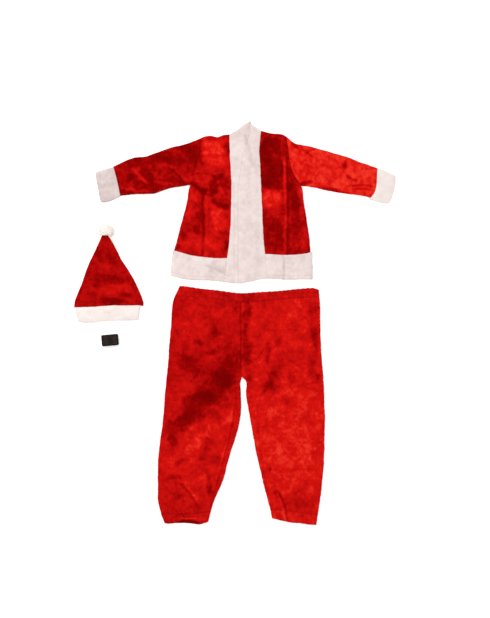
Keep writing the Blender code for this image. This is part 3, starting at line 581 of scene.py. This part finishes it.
def make_cloth(name, layer, ringed, wall, origin, material, nap):
    """Cloth with a wall: an outer and an inner face half a wall to each side of the middle, which come
    together in a half round at the cut edges, where the two share their points."""
    points, side = layer.points + np.array([*origin, 0.0]), layer.side
    normals = face_normals(points, ringed)
    inside_out = np.sum(normals[..., 2] * side * (1 - layer.rolled)) < 0
    if inside_out:
        normals = -normals
    half = wall / 2
    swell = half * np.sqrt(1 - (1 - np.clip(layer.border / half, 0, 1)) ** 2)[..., None]
    middle = points - normals * half
    outer, inner = middle + normals * swell, middle - normals * swell
    rows, columns = side.shape
    front = np.arange(rows * columns).reshape(rows, columns)
    back = front + rows * columns
    back[:, [0, -1]] = front[:, [0, -1]]
    if not ringed:
        back[[0, -1]] = front[[0, -1]]
    front, back = quads(front, ringed), quads(back, ringed)
    faces = np.concatenate([front[:, ::-1], back] if inside_out else [front, back[:, ::-1]])
    corners = np.concatenate([outer.reshape(-1, 3), inner.reshape(-1, 3)])
    # Painted shade: the pile is darkened where the cloth rolls down at its sides and along its cut edges and
    # seams.
    edge_shade = nap - 0.55 * layer.rolled - 0.35 * np.exp(-layer.border / half)
    values = np.concatenate([edge_shade.ravel(), edge_shade.ravel() - 0.3])
    inside = np.concatenate([np.zeros(nap.size), np.ones(nap.size)])
    return put_mesh(name, corners, faces, material, nap=values, inside=inside)


def linear(code):
    """Linear RGBA of an sRGB hex colour: a power curve above its toe, a straight line below."""
    value = np.array([int(code[i:i + 2], 16) for i in (0, 2, 4)]) / 255
    value = np.where(value <= 0.04045, value / 12.92, ((value + 0.055) / 1.055) ** 2.4)
    return (*value.tolist(), 1.0)


def add(tree, kind, inputs=None, stops=(), **settings):
    """Adds a shader node with its settings: an input is a value or another node's output, a stop is a place
    and a colour."""
    node = tree.nodes.new("ShaderNode" + kind)
    for name, value in settings.items():
        setattr(node, name, value)
    for name, value in (inputs or {}).items():
        if isinstance(value, bpy.types.NodeSocket):
            tree.links.new(value, node.inputs[name])
        else:
            node.inputs[name].default_value = value
    for number, (place, code) in enumerate(stops):
        ramp = node.color_ramp.elements
        stop = ramp[number] if number < len(ramp) else ramp.new(place)
        stop.position, stop.color = place, linear(code)
    return node


def new_material(name, **sockets):
    """A material with those values, or hex colours, on its shader's own sockets, and what its nodes read."""
    material = bpy.data.materials.new(name)
    material.use_nodes = True
    tree = material.node_tree
    shader = tree.nodes["Principled BSDF"]
    for socket, value in sockets.items():
        socket = shader.inputs[socket.replace("_", " ")]
        socket.default_value = linear(value) if isinstance(value, str) else value
    return material, tree, shader, add(tree, "TexCoord").outputs["Object"]


def plush(name, codes, mottling, depth, **sockets):
    """Knitted polyester plush: the colour follows how the pile lies, from dark to bright, mottled where it is
    brushed and crushed, and also any painted shade and highlight that the nap attribute carries, with bumps
    that deep of brushed tufts and of pile ends about 1.3 mm apart."""
    material, tree, shader, place = new_material(name, **sockets)
    codes = codes.split()
    stops = [(k / (len(codes) - 1), code) for k, code in enumerate(codes)]
    nap = add(tree, "Attribute", attribute_name="nap").outputs["Fac"]
    inside = add(tree, "Attribute", attribute_name="inside").outputs["Fac"]
    # Tufts that were brushed together, about 6 mm across and half as long again.
    brushed = add(
        tree, "Mapping", {"Vector": place, "Rotation": (0.0, 0.0, 0.5), "Scale": (1.0, 0.65, 1.0)}
    ).outputs["Vector"]
    tufts = add(
        tree, "TexNoise", {"Vector": brushed, "Scale": 1000 / 6.0, "Detail": 4.0, "Roughness": 0.8}
    ).outputs["Fac"]
    # Crushed areas about 16 mm across.
    crush = add(
        tree, "TexNoise", {"Vector": place, "Scale": 1000 / 16.0, "Detail": 2.0, "Distortion": 0.6}
    ).outputs["Fac"]
    both = add(tree, "Math", {0: tufts, 1: crush}, operation="ADD").outputs[0]
    limits = {"From Min": 0.6, "From Max": 1.4, "To Min": -mottling, "To Max": mottling}
    spread = add(tree, "MapRange", {"Value": both, **limits}).outputs[0]
    lean = add(tree, "Math", {0: nap, 1: spread}, operation="ADD").outputs[0]
    share = add(tree, "MapRange", {"Value": lean, "From Min": -1.0, "From Max": 1.0}).outputs[0]
    colour = add(tree, "ValToRGB", {"Fac": share}, stops).outputs["Color"]
    backing = add(tree, "Mix", {"Factor": inside, "A": colour, "B": linear(codes[1])}, data_type="RGBA")
    tree.links.new(backing.outputs["Result"], shader.inputs["Base Color"])
    if depth:
        ends = add(tree, "TexNoise", {"Vector": place, "Scale": 1000 / 1.3, "Detail": 2.0}).outputs["Fac"]
        broad = add(tree, "Bump", {"Height": tufts, "Strength": 0.5, "Distance": depth}).outputs["Normal"]
        fine = add(tree, "Bump", {"Height": ends, "Normal": broad, "Strength": 0.5, "Distance": depth / 3})
        tree.links.new(fine.outputs["Normal"], shader.inputs["Normal"])
    return material


def black_strap():
    """Polyurethane faux leather, embossed and semi-gloss: a brown black with a fine grain of about 1 mm."""
    material, tree, shader, place = new_material(
        "black_faux_leather", Roughness=0.5, Specular_IOR_Level=0.12, IOR=1.5
    )
    # The nap attribute here carries the painted shade and painted highlights put on the strap in make_belt.
    nap = add(tree, "Attribute", attribute_name="nap").outputs["Fac"]
    patches = add(tree, "TexNoise", {"Vector": place, "Scale": 1000 / 14.0, "Detail": 3.0}).outputs["Fac"]
    lean = add(tree, "Math", {0: nap, 1: patches}, operation="ADD").outputs[0]
    stops = ((0.0, "030202"), (0.3, "0E0908"), (0.6, "2A1C1B"), (1.0, "3C2F2A"))
    colour = add(tree, "ValToRGB", {"Fac": lean}, stops).outputs["Color"]
    tree.links.new(colour, shader.inputs["Base Color"])
    grain = add(
        tree, "TexVoronoi", {"Vector": place, "Scale": 1000 / 1.1}, feature="DISTANCE_TO_EDGE"
    ).outputs["Distance"]
    bump = add(tree, "Bump", {"Height": grain, "Strength": 0.35, "Distance": 0.0002})
    tree.links.new(bump.outputs["Normal"], shader.inputs["Normal"])
    return material


def sewing_thread(name, code):
    """Spun polyester thread: matt, a shade off the cloth, its ply twisted about every half millimetre."""
    material, tree, shader, place = new_material(name, Roughness=0.8, Specular_IOR_Level=0.2)
    ply = add(tree, "TexNoise", {"Vector": place, "Scale": 1000 / 0.5}).outputs["Fac"]
    dark = tuple(0.6 * part for part in linear(code)[:3]) + (1.0,)
    colour = add(tree, "Mix", {"Factor": ply, "A": dark, "B": linear(code)}, data_type="RGBA")
    tree.links.new(colour.outputs["Result"], shader.inputs["Base Color"])
    return material


def studio_floor():
    """Opal acrylic lit from behind, as a product table: plain white, with a trace of unevenness."""
    material, tree, shader, place = new_material(
        "opal_acrylic_table", Roughness=0.95, Specular_IOR_Level=0.0,
        Emission_Color="FFFFFF", Emission_Strength=0.4,
    )
    mist = add(tree, "TexNoise", {"Vector": place, "Scale": 1.5}).outputs["Fac"]
    stops = ((0.0, "F9F9F9"), (1.0, "FFFFFF"))
    colour = add(tree, "ValToRGB", {"Fac": mist}, stops).outputs["Color"]
    tree.links.new(colour, shader.inputs["Base Color"])
    return material


# Short-pile polyester plush, piece-dyed and crushed: dark where the pile faces up, bright where it lies
# over, with a soft red sheen and hardly any gloss.
RED = plush(
    "crushed_red_plush", "780000 930101 BA0A09 D9130D F23626", 0.42, 0.0012, Roughness=0.9,
    Specular_IOR_Level=0.02, Sheen_Weight=0.05, Sheen_Roughness=0.4, Sheen_Tint="FF5A40",
)
# The same plush undyed: a warm white with faint grey where the pile is parted.
WHITE = plush(
    "white_trim_plush", "C2B2B0 D8C7C4 EAD9D5 F4E7E2 FBF2EC", 0.22, 0.0012, Roughness=0.95,
    Specular_IOR_Level=0.15, Sheen_Weight=0.1, Sheen_Roughness=0.5, Sheen_Tint="FFF6F0",
)
# Acrylic pile, wound and clipped: a warm white, each tuft a little different, with a faint painted glow from
# its emission standing in for the light that hairs pass on.
PILE = plush(
    "white_pompom_pile", "DCCBC0 F3E8DF FFFBF6", 0.3, None, Roughness=0.95, Specular_IOR_Level=0.1,
    Sheen_Weight=0.1, Sheen_Roughness=0.5, Sheen_Tint="FFF6F0", Emission_Color="FFF6EE", Emission_Strength=0.1,
)
STRAP = black_strap()
RED_THREAD = sewing_thread("dark_red_thread", "7A0605")
WHITE_THREAD = sewing_thread("ivory_thread", "E2D3BE")

# The cloths: wall, height as laid, step between points, and how much the hidden layer's pile varies.
Cloth = namedtuple("Cloth", "material slot wall height step hidden")
PLUSH = Cloth(RED, "red_plush", 2.0, 7.0, 3.0, 1.0)
CASING = Cloth(RED, "red_plush", 2.6, 8.6, 3.0, 1.0)
TRIM = Cloth(WHITE, "white_plush", 2.8, 8.4, 2.5, 0.4)
BRIM = Cloth(WHITE, "white_plush", 2.8, 10.0, 2.5, 0.4)


def settle(obj, node):
    """The piece rides on the one body and stands for its CAD node, which is hidden."""
    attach(obj, "root")
    if node is not None:
        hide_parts(node)


def sew(
    node, cloth, at, edges, u, v, shape, nap, creases, seed, ringed=None, height=None, reshape=None, **laying
):
    """Lays one cut piece between its edges, gives it its wall and its pile, and settles it.

    u and v divide it across and along; ringed names the one of them that is a closed tube's section.
    """
    layer = laid(edges, as_axis(u, 0), as_axis(v, 1), height or cloth.height, shape, **laying)
    if reshape:
        layer = reshape(layer)
    if ringed == "v":
        layer = Layer(layer.points.transpose(1, 0, 2), *[values.T for values in layer[1:]])
    x, y = layer.x, layer.y
    hidden = 0.5 * soft_noise(x, y, 55, seed + 9) + 0.3 * soft_noise(x, y, 20, seed + 10)
    lean = np.where(layer.side > 0, pile_tone_and_crease_shading(x, y, nap, creases, seed), nap.base + cloth.hidden * hidden)
    lean = np.clip(lean, -1.2, 1.2)
    obj = make_cloth(f"{node}_plush", layer, bool(ringed), cloth.wall, at, cloth.material, lean)
    settle(obj, node)


def below_underarm(x, y):
    """1 along the side seams, where the edge rolls, and 0 along the armholes, where it lies flat."""
    return 1 - smooth_step(UNDERARM - 60, UNDERARM + 10, y)


def outside_neck(x, y):
    """1 along the shoulders, 0 along the back of the neck."""
    return 1 - smooth_step(-85, -45, x) * (1 - smooth_step(40, 80, x))


def over_band_height(x, y):
    """The upper band lies on the lower one and comes down to its own front beside it."""
    start, end = OVER_BAND_SLOPE
    return TRIM.height + OVER_BAND_RISE * (1 - smooth_step(start, end, x))


def make_sleeves(armhole_right, armhole_left, shape):
    """Flattened tubes from the armholes to the cuffs, and a thicker white ring on the end of each."""
    Arm = namedtuple("Arm", "side sleeve cuff seam end nap cuff_nap")
    arms = rows(Arm,
        ("right", SLEEVE_RIGHT, CUFF_RIGHT, CUFF_SEAM_RIGHT, CUFF_END_RIGHT, RIGHT_SLEEVE_NAP, RIGHT_CUFF_NAP),
        ("left", SLEEVE_LEFT, CUFF_LEFT, CUFF_SEAM_LEFT, CUFF_END_LEFT, LEFT_SLEEVE_NAP, LEFT_CUFF_NAP),
    )
    for k, arm in enumerate(arms):
        seam, end = smooth_line(arm.seam), wavy(smooth_line(arm.end), 20, 0.8, 80 + k)
        low = wavy(column(arm.sleeve, "low", "x"), 24, 0.9, 82 + k)
        high = wavy(column(arm.sleeve, "high", "x"), 24, 0.9, 84 + k)
        right = arm.side == "right"
        ends = (seam, armhole_right) if right else (armhole_left, seam)
        sew(
            f"sleeve_{arm.side}", PLUSH, JACKET_AT, (*ends, low, high), across(255, "edge edge", PLUSH),
            ring(105, PLUSH), shape, arm.nap, JACKET_CREASES, 300 + 20 * k, ringed="v",
            dips=("left", "right"),
        )
        ends = (end, seam) if right else (seam, end)
        edges = (*ends, column(arm.cuff, "low", "x"), column(arm.cuff, "high", "x"))
        sew(
            f"cuff_{arm.side}", TRIM, JACKET_AT, edges, across(55, "edge edge", TRIM), ring(90, TRIM, 5.0),
            swells((), 340 + k, 0.6), arm.cuff_nap, (), 350 + 20 * k, ringed="v", puff=1.4,
        )


def make_jacket():
    """The back with two fronts over it, a white band round the bottom, two down the front, the left one over
    the right one, a strip behind the neck, and the sleeves."""
    line = {name: wavy(column(BODY, name), 26, 0.8, 60 + k) for k, name in enumerate(Body._fields[1:])}
    line["hem"] = wavy(smooth_line(HEM_SEAM), 30, 0.6, 65)
    line["edge"] = wavy(smooth_line(HEM_EDGE), 24, 1.0, 66)
    line["hem_right"] = wavy(smooth_line([(y, right) for y, right, _ in HEM_SIDES]), 20, 0.6, 67)
    line["hem_left"] = wavy(smooth_line([(y, left) for y, _, left in HEM_SIDES]), 20, 0.6, 68)
    line["back_top"] = smooth_line(SHOULDER_RIGHT[:4] + BACK_NECK + SHOULDER_LEFT[1:])
    line["shoulder_right"], line["shoulder_left"] = smooth_line(SHOULDER_RIGHT), smooth_line(SHOULDER_LEFT)
    line["under_edge"], line["under_top"] = level(UNDER_BAND_EDGE_X), smooth_line(UNDER_BAND_TOP)
    line["over_edge"] = wavy(smooth_line(OVER_BAND_EDGE), 40, 1.0, 75)
    line["over_top"] = smooth_line(OVER_BAND_TOP)
    line["nape_right"], line["nape_left"] = level(NAPE[0]), level(NAPE[1])
    line["nape"], line["neck_fold"] = smooth_line(BACK_NECK), smooth_line(NECK_FOLD)

    def flat(node, cloth, sides, u, v, *looks, **laying):
        """A flat piece between four lines: u and v are its width, the kinds of its sides, layer and step."""
        u, v = [across(*way[:2], cloth, *way[2:]) for way in (u, v)]
        sew(node, cloth, JACKET_AT, [line[name] for name in sides.split()], u, v, *looks, **laying)

    front = swells(JACKET_CREASES, 100)
    hem, band = swells(WHITE_CREASES, 200, 0.5), swells(WHITE_CREASES, 250, 0.5)
    red = {"gap": SEAM_GAP, "close_u": below_underarm}
    flat(
        "jacket_back", PLUSH, "side_right side_left hem back_top", (400, "roll roll", -1, 5.0),
        (350, "edge roll", 1, 5.0), swells((), 140), BACK_NAP, (), 150, close_v=outside_neck, **red,
    )
    flat(
        "front_right", PLUSH, "side_right seam_right hem shoulder_right", (125, "roll edge"),
        (355, "edge roll"), front, RIGHT_FRONT_NAP, JACKET_CREASES, 160, dips=("right", "low"), **red,
    )
    flat(
        "front_left", PLUSH, "seam_left side_left hem shoulder_left", (125, "edge roll"),
        (355, "edge roll"), front, LEFT_FRONT_NAP, JACKET_CREASES, 170, dips=("left", "low"), **red,
    )
    flat(
        "hem_back", TRIM, "hem_right hem_left edge hem", (420, "roll roll", -1, 5.0), (76, "edge edge"),
        swells((), 210, 0.5), HEM_NAP, (), 220, gap=SEAM_GAP,
    )
    flat(
        "hem_front_right", TRIM, "hem_right seam_right edge hem", (165, "roll edge"), (76, "edge edge"),
        hem, HEM_NAP, WHITE_CREASES, 230, gap=SEAM_GAP, puff=1.0,
    )
    flat(
        "hem_front_left", TRIM, "seam_left hem_left edge hem", (140, "edge roll"), (76, "edge edge"),
        hem, HEM_NAP, WHITE_CREASES, 240, gap=SEAM_GAP, puff=1.0,
    )
    flat(
        "band_right", TRIM, "seam_right under_edge edge under_top", (70, "edge edge"), (460, "edge edge"),
        band, BAND_TONE_AND_FOLD_SHADE, WHITE_CREASES, 260, puff=0.8,
    )
    flat(
        "band_left", TRIM, "over_edge seam_left edge over_top", (70, "edge edge"), (460, "edge edge"),
        band, BAND_TONE_AND_FOLD_SHADE, WHITE_CREASES, 270, height=over_band_height, puff=0.8,
    )
    flat(
        "collar", TRIM, "nape_right nape_left nape neck_fold", (85, "edge edge", -1), (30, "edge edge"),
        swells((), 280, 0.3), BAND_TONE_AND_FOLD_SHADE, (), 290,
    )
    make_sleeves(line["side_right"], line["side_left"], front)


def below_crotch(x, y):
    """1 along the inseams, where the legs close, and 0 along the centre seam above the crotch."""
    return 1 - smooth_step(CROTCH - 30, CROTCH + 10, y)


def open_mouth(layer, low):
    """Draws the front of an ankle back from its rear edge, so that the hollow between them shows."""
    start, end, depth = MOUTH
    reach = smooth_step(start, start + 35, layer.x) * (1 - smooth_step(end - 30, end, layer.x))
    near = 1 - smooth_step(0, 24, layer.y - low(layer.x))
    shift = depth * reach * near * (1 - layer.rolled) * (layer.side > 0)
    points = layer.points + np.stack([0 * shift, shift, 0.18 * shift], axis=-1)
    return layer._replace(points=points)


def make_trousers():
    """Two legs folded at their outer edges and sewn at the inseams, under and over elastic casings."""
    waist = scalloped(smooth_line(WAIST_EDGE), *WAIST_SCALLOP, 90)
    waist_seam = smooth_line(WAIST_SEAM)
    shape = swells(TROUSER_CREASES, 400, gathers=elastic_gathers)
    seeds = {"outer_right": 91, "inner_right": 93, "inner_left": 93, "outer_left": 95}  # one centre seam
    line = {name: wavy(column(LEGS, name), 30, 0.9, seed) for name, seed in seeds.items()}
    Leg = namedtuple("Leg", "side edge seam nap")
    legs = rows(Leg,
        ("right", ANKLE_EDGE_RIGHT, ANKLE_SEAM_RIGHT, RIGHT_LEG_NAP),
        ("left", ANKLE_EDGE_LEFT, ANKLE_SEAM_LEFT, LEFT_LEG_NAP),
    )
    for k, leg in enumerate(legs):
        seam, edge = smooth_line(leg.seam), wavy(smooth_line(leg.edge), 22, 1.6, 96 + k)
        right = leg.side == "right"
        names = ("outer_right", "inner_right") if right else ("inner_left", "outer_left")
        sides = [line[name] for name in names]
        kinds = "fold roll" if right else "roll fold"
        front, back = across(220, kinds, PLUSH), across(220, kinds, PLUSH, -1, BACK_STEP)
        section = joined(backwards(front), back) if right else joined(front, backwards(back))
        inner = (section.lean > 0 if right else section.lean < 0)[:, None]

        def closing(x, y, inner=inner):
            """The outer edge is a fold all the way; the inner one is sewn below the crotch only."""
            return np.where(inner, below_crotch(x, y), 1.0)

        sew(
            f"leg_{leg.side}", PLUSH, TROUSERS_AT, (*sides, seam, waist_seam), section,
            across(640, "edge edge", PLUSH), shape, leg.nap, TROUSER_CREASES, 420 + 20 * k, close_u=closing,
            gap=np.where(inner, SEAM_GAP, 0.0), dips=("low", "right" if right else "left"),
        )
        sew(
            f"ankle_casing_{leg.side}", CASING, TROUSERS_AT, (*sides, edge, seam), ring(125, CASING),
            across(28, "edge edge", CASING), shape, leg.nap, TROUSER_CREASES, 460 + 20 * k, ringed="u",
            puff=0.6, reshape=(lambda casing: open_mouth(casing, edge)) if right else None,
        )
    sew(
        "waist_casing", CASING, TROUSERS_AT, (line["outer_right"], line["outer_left"], waist_seam, waist),
        ring(410, CASING), across(27, "edge edge", CASING, step=2.5), shape, WAIST_NAP, (), 500, ringed="u",
        height=PLUSH.height, puff=1.0,
    )


def tip_lift(x, y):
    """The hat's tip is held up off the floor by the pompom that it is sewn to."""
    start, end, rise = TIP_RISE
    return rise * smooth_step(start, end, y)


def make_hat():
    """A cone of a front and a back, sewn at its sides and tip, in a thick white brim."""
    sides = (wavy(column(CONE, "right"), 26, 0.9, 101), wavy(column(CONE, "left"), 26, 0.9, 102))
    seam = smooth_line(BRIM_SEAM)
    for node, layer, step, creases in (("hat_front", 1, None, HAT_CREASES), ("hat_back", -1, BACK_STEP, ())):
        sew(
            node, PLUSH, HAT_AT, (*sides, seam, level(HAT_TIP_Y)), across(150, "roll roll", PLUSH, layer, step),
            across(205, "edge roll", PLUSH), swells(creases, 520), HAT_NAP, creases, 530 + layer, lift=tip_lift,
            gap=SEAM_GAP, dips=("low",),
        )
    right = smooth_line([(y, a) for y, a, _ in BRIM_SIDES])
    left = smooth_line([(y, b) for y, _, b in BRIM_SIDES])
    edges = (right, left, wavy(smooth_line(BRIM_EDGE), 22, 1.0, 104), wavy(seam, 22, 0.8, 105))
    sew(
        "hat_brim", BRIM, HAT_AT, edges, ring(190, BRIM), across(48, "edge edge", BRIM),
        swells((), 550, 0.8), BRIM_NAP, (), 560, ringed="u", puff=1.8,
    )


def merged(obj):
    """Merges points that lie together, as at a pole, and turns the faces outwards."""
    shape = bmesh.new()
    shape.from_mesh(obj.data)
    bmesh.ops.remove_doubles(shape, verts=shape.verts, dist=0.00002)
    bmesh.ops.recalc_face_normals(shape, faces=shape.faces)
    shape.to_mesh(obj.data)
    shape.free()
    return obj


def dented(out):
    """Points on the pompom for directions out: an ellipsoid, flattened where the hat's tip is sewn to it."""
    middle, full, none, limit = POMPOM_DENT
    points = out * np.array(POMPOM_REACH)
    at_tip = 1 - smooth_step(full, none, np.abs(points[..., 0] - middle))
    points[..., 1] += np.maximum(limit - points[..., 1], 0) * at_tip
    return points


def make_pompom():
    """A squashed ball of pile: a lumpy core, and tufts that stand out from it and droop a little."""
    turn = np.linspace(0, 2 * math.pi, 48, endpoint=False)[:, None]
    tilt = np.linspace(0, math.pi, 26)[None, :]
    x, y, z = np.cos(turn) * np.sin(tilt), np.sin(turn) * np.sin(tilt), np.cos(tilt) + 0 * turn
    lumps = 0.92 + 0.03 * soft_noise(40 * x + 90, 40 * y + 40 * z, 16, 600)
    centre = np.array([HAT_AT[0] + POMPOM_CENTRE[0], HAT_AT[1] + POMPOM_CENTRE[1], POMPOM_REACH[2]])
    core = (dented(np.stack([x, y, z], axis=-1)) * lumps[..., None] + centre).reshape(-1, 3)
    rng = np.random.default_rng(610)
    up = 1 - (2 * np.arange(POMPOM_TUFTS) + 1) / POMPOM_TUFTS
    around = np.arange(POMPOM_TUFTS) * math.pi * (3 - math.sqrt(5))  # the golden angle spreads them evenly
    flat = np.sqrt(1 - up**2)
    out = np.stack([flat * np.cos(around), flat * np.sin(around), up], axis=-1)
    out += rng.normal(0, 0.12, out.shape)
    out /= np.linalg.norm(out, axis=1, keepdims=True)
    side = np.cross(out, rng.normal(0, 1, out.shape))
    side /= np.linalg.norm(side, axis=1, keepdims=True)
    other = np.cross(out, side)
    length = rng.uniform(0.93, 1.05, (POMPOM_TUFTS, 1))
    droop = side * rng.uniform(-2.5, 2.5, (POMPOM_TUFTS, 1))
    droop[:, 2] -= rng.uniform(0, 1.0, POMPOM_TUFTS)
    rings = []
    for share, thick in TUFT_RINGS:
        middle = dented(out) * length * share + droop * (share - TUFT_RINGS[0][0]) / (1 - TUFT_RINGS[0][0])
        for spot in np.radians([0, 120, 240]):
            rings.append(middle + thick * (side * math.cos(spot) + other * math.sin(spot)))
    tufts = (np.stack(rings, axis=1) + centre).reshape(-1, 3)
    tufts[:, 2] = np.maximum(tufts[:, 2], 0.3)
    one = quads(np.arange(9).reshape(3, 3).T)
    hairs = (one[None] + 9 * np.arange(POMPOM_TUFTS)[:, None, None]).reshape(-1, 4) + len(core)
    points = np.concatenate([core, tufts])
    tone = np.concatenate([np.full(len(core), 0.3), np.repeat(rng.uniform(0.1, 1.0, POMPOM_TUFTS), 9)])
    faces = np.concatenate([quads(np.arange(48 * 26).reshape(48, 26))[:, ::-1], hairs])
    obj = put_mesh("pompom_pile", points, faces, PILE, nap=tone, inside=np.zeros(len(points)))
    settle(merged(obj), "pompom")


def flattened(angle, power):
    """A circle's two coordinates at that angle, squarer the smaller the power is below 1."""
    x, y = np.cos(angle), np.sin(angle)
    return np.sign(x) * np.abs(x) ** power, np.sign(y) * np.abs(y) ** power


def make_belt():
    """A strap wound flat: a spiral of flattened turns, with the strap's round-edged section carried along."""
    length, height = BELT_ROLL
    turn = np.linspace(0, 1, 420)
    pitch = (height - BELT_THICKNESS) / 2 / (BELT_TURNS + 0.3)
    tall = 0.5 + pitch * BELT_TURNS * turn
    x, z = flattened(2 * math.pi * BELT_TURNS * turn + BELT_START, BELT_SQUARENESS)
    x, z = (tall + (length - height) / 2) * x, np.maximum(height / 2 + tall * z, BELT_THICKNESS / 2)
    path = np.stack([x, z], axis=-1)
    along = np.gradient(path, axis=0)
    along /= np.linalg.norm(along, axis=1, keepdims=True)
    # Round the section by row, along the strap by column; both ends are cut round and taper to nothing.
    spot = np.linspace(0, 2 * math.pi, 32, endpoint=False)[:, None]
    close = np.sqrt(1 - (1 - np.clip(np.minimum(turn, 1 - turn) / STRAP_END, 0, 1)) ** 2)
    uneven = 1 + 0.012 * soft_noise(turn * 400, 0.0, 60, 620)
    y = BELT_WIDTH / 2 * flattened(spot, 0.25)[0] * (0.75 + 0.25 * close) * uneven
    thick = BELT_THICKNESS / 2 * flattened(spot, 0.7)[1] * close
    x, z = x - along[:, 1] * thick, z + along[:, 0] * thick
    y = y * (1 - 0.12 * smooth_step(0.36, 0.5, np.abs(x) / length) ** 2)  # the turns' ends stand in a little
    bend = 0.35 * soft_noise(x, y, 14, 621) * smooth_step(3, 9, z)
    tilt = math.radians(BELT_TILT_DEG)
    points = np.stack([
        x * math.cos(tilt) - y * math.sin(tilt) + BELT_AT[0],
        x * math.sin(tilt) + y * math.cos(tilt) + BELT_AT[1],
        z + bend,
    ], axis=-1)
    # Painted shade darkens the strap towards its rounded edges and the roll's curved ends; painted highlights
    # brighten bands across it.
    shade = -0.6 * smooth_step(0.74, 0.98, np.abs(y) / (BELT_WIDTH / 2)) - 0.6 * smooth_step(20, 26, np.abs(x))
    for highlight_x, reach, tone in BELT_PAINTED_HIGHLIGHTS:
        shade = shade + tone * np.exp(-(((x - highlight_x) / reach) ** 2)) * (0.7 + 0.5 * soft_noise(x, y, 9, 622))
    faces = quads(np.arange(thick.size).reshape(thick.shape))
    obj = put_mesh("rolled_belt_strap", points.reshape(-1, 3), faces, STRAP, nap=shade.ravel())
    settle(merged(obj), "belt")


def make_stitches(name, lines, height, material):
    """Rows of lockstitch: spindles of thread end to end along each line, half sunk in the pile."""
    spots = np.linspace(0, 2 * math.pi, 6, endpoint=False)
    share, size = np.array([(-1.0, 0.1), (-0.55, 1.0), (0.55, 1.0), (1.0, 0.1)]).T  # along, and how thick there
    thick = STITCH_THICK * size[:, None]
    along = np.repeat(share * STITCH_LENGTH / 2, 6)
    sideways = (thick * np.cos(spots)).ravel()
    upwards = (thick * (0.8 * np.sin(spots) - 0.6 * np.abs(share)[:, None])).ravel()
    places = []
    for line, start, end, origin in lines:
        x = np.linspace(start, end, int((end - start) / STITCH_PITCH))
        slope = np.gradient(line(x), x)
        x, y, z = x[:, None], line(x)[:, None], height(x, line(x))[:, None]
        run_x, run_y = 1 / np.sqrt(1 + slope**2)[:, None], (slope / np.sqrt(1 + slope**2))[:, None]
        places.append(np.stack([
            x + origin[0] + run_x * along - run_y * sideways,
            y + origin[1] + run_y * along + run_x * sideways,
            z + upwards,
        ], axis=-1))
    points = np.concatenate(places)
    first = 24 * np.arange(len(points))[:, None, None]
    one = quads(np.arange(24).reshape(4, 6).T)
    obj = put_mesh(name, points.reshape(-1, 3), (one + first).reshape(-1, 4), material)
    settle(obj, None)


def sew_stitches():
    """The rows of stitches that show: two at the waist, one at each ankle and one along the jacket's hem."""
    trousers = swells(TROUSER_CREASES, 400, gathers=elastic_gathers)
    seam = smooth_line(WAIST_SEAM)

    def casing_top(x, y):
        return CASING.height + trousers(x, y) + 0.4

    rows = [
        (lambda x: seam(x) + 2.5, -188, 222, TROUSERS_AT),
        (lambda x: seam(x) + 15.0, -186, 220, TROUSERS_AT),
        (lambda x: smooth_line(ANKLE_SEAM_RIGHT)(x) - 3.0, -243, -106, TROUSERS_AT),
        (lambda x: smooth_line(ANKLE_SEAM_LEFT)(x) - 3.0, 92, 214, TROUSERS_AT),
    ]
    make_stitches("casing_stitches", rows, casing_top, RED_THREAD)
    white = swells(WHITE_CREASES, 200, 0.5)
    edge = smooth_line(HEM_EDGE)
    hem_rows = [
        (lambda x: edge(x) + 11.0, -222, -60, JACKET_AT),
        (lambda x: edge(x) + 11.0, 62, 196, JACKET_AT),
    ]

    def hem_top(x, y):
        return TRIM.height + 1.1 + white(x, y)

    make_stitches("hem_stitches", hem_rows, hem_top, WHITE_THREAD)


def look_at(place, target):
    """Turn of a light or camera that looks from place to target."""
    return (Vector(target) - Vector(place)).to_track_quat("-Z", "Y").to_euler()


def light_studio():
    """A white table that glows faintly, a broad soft light from the upper left and a weaker one opposite."""
    x, y, z = TABLE_REACH, TABLE_REACH, -0.0005
    top = bpy.data.meshes.new("table")
    top.from_pydata([(-x, -y, z), (x, -y, z), (x, y, z), (-x, y, z)], [], [(0, 1, 2, 3)])
    top.materials.append(studio_floor())
    table = bpy.data.objects.new("table", top)
    bpy.context.scene.collection.objects.link(table)
    world = bpy.data.worlds.new("studio")
    world.use_nodes = True
    sky = world.node_tree.nodes["Background"].inputs
    sky["Color"].default_value, sky["Strength"].default_value = (1.0, 1.0, 1.0, 1.0), WORLD_STRENGTH
    bpy.context.scene.world = world
    for lamp in LAMPS:
        data = bpy.data.lights.new(lamp.name, "AREA")
        data.energy, data.size = lamp.watts, lamp.size
        obj = bpy.data.objects.new(lamp.name, data)
        obj.location = lamp.place
        obj.rotation_euler = look_at(lamp.place, (0.0, 0.0, 0.0))
        bpy.context.scene.collection.objects.link(obj)


def set_camera():
    """Straight down on the whole set, from above its middle."""
    data = bpy.data.cameras.new("overhead")
    data.lens = CAMERA_LENS
    camera = bpy.data.objects.new("overhead", data)
    camera.location = CAMERA_AT
    bpy.context.scene.collection.objects.link(camera)
    bpy.context.scene.camera = camera
    bpy.context.scene.view_settings.view_transform = "Standard"


def main():
    make_jacket()
    make_trousers()
    make_hat()
    make_pompom()
    make_belt()
    sew_stitches()
    light_studio()
    set_camera()


main()
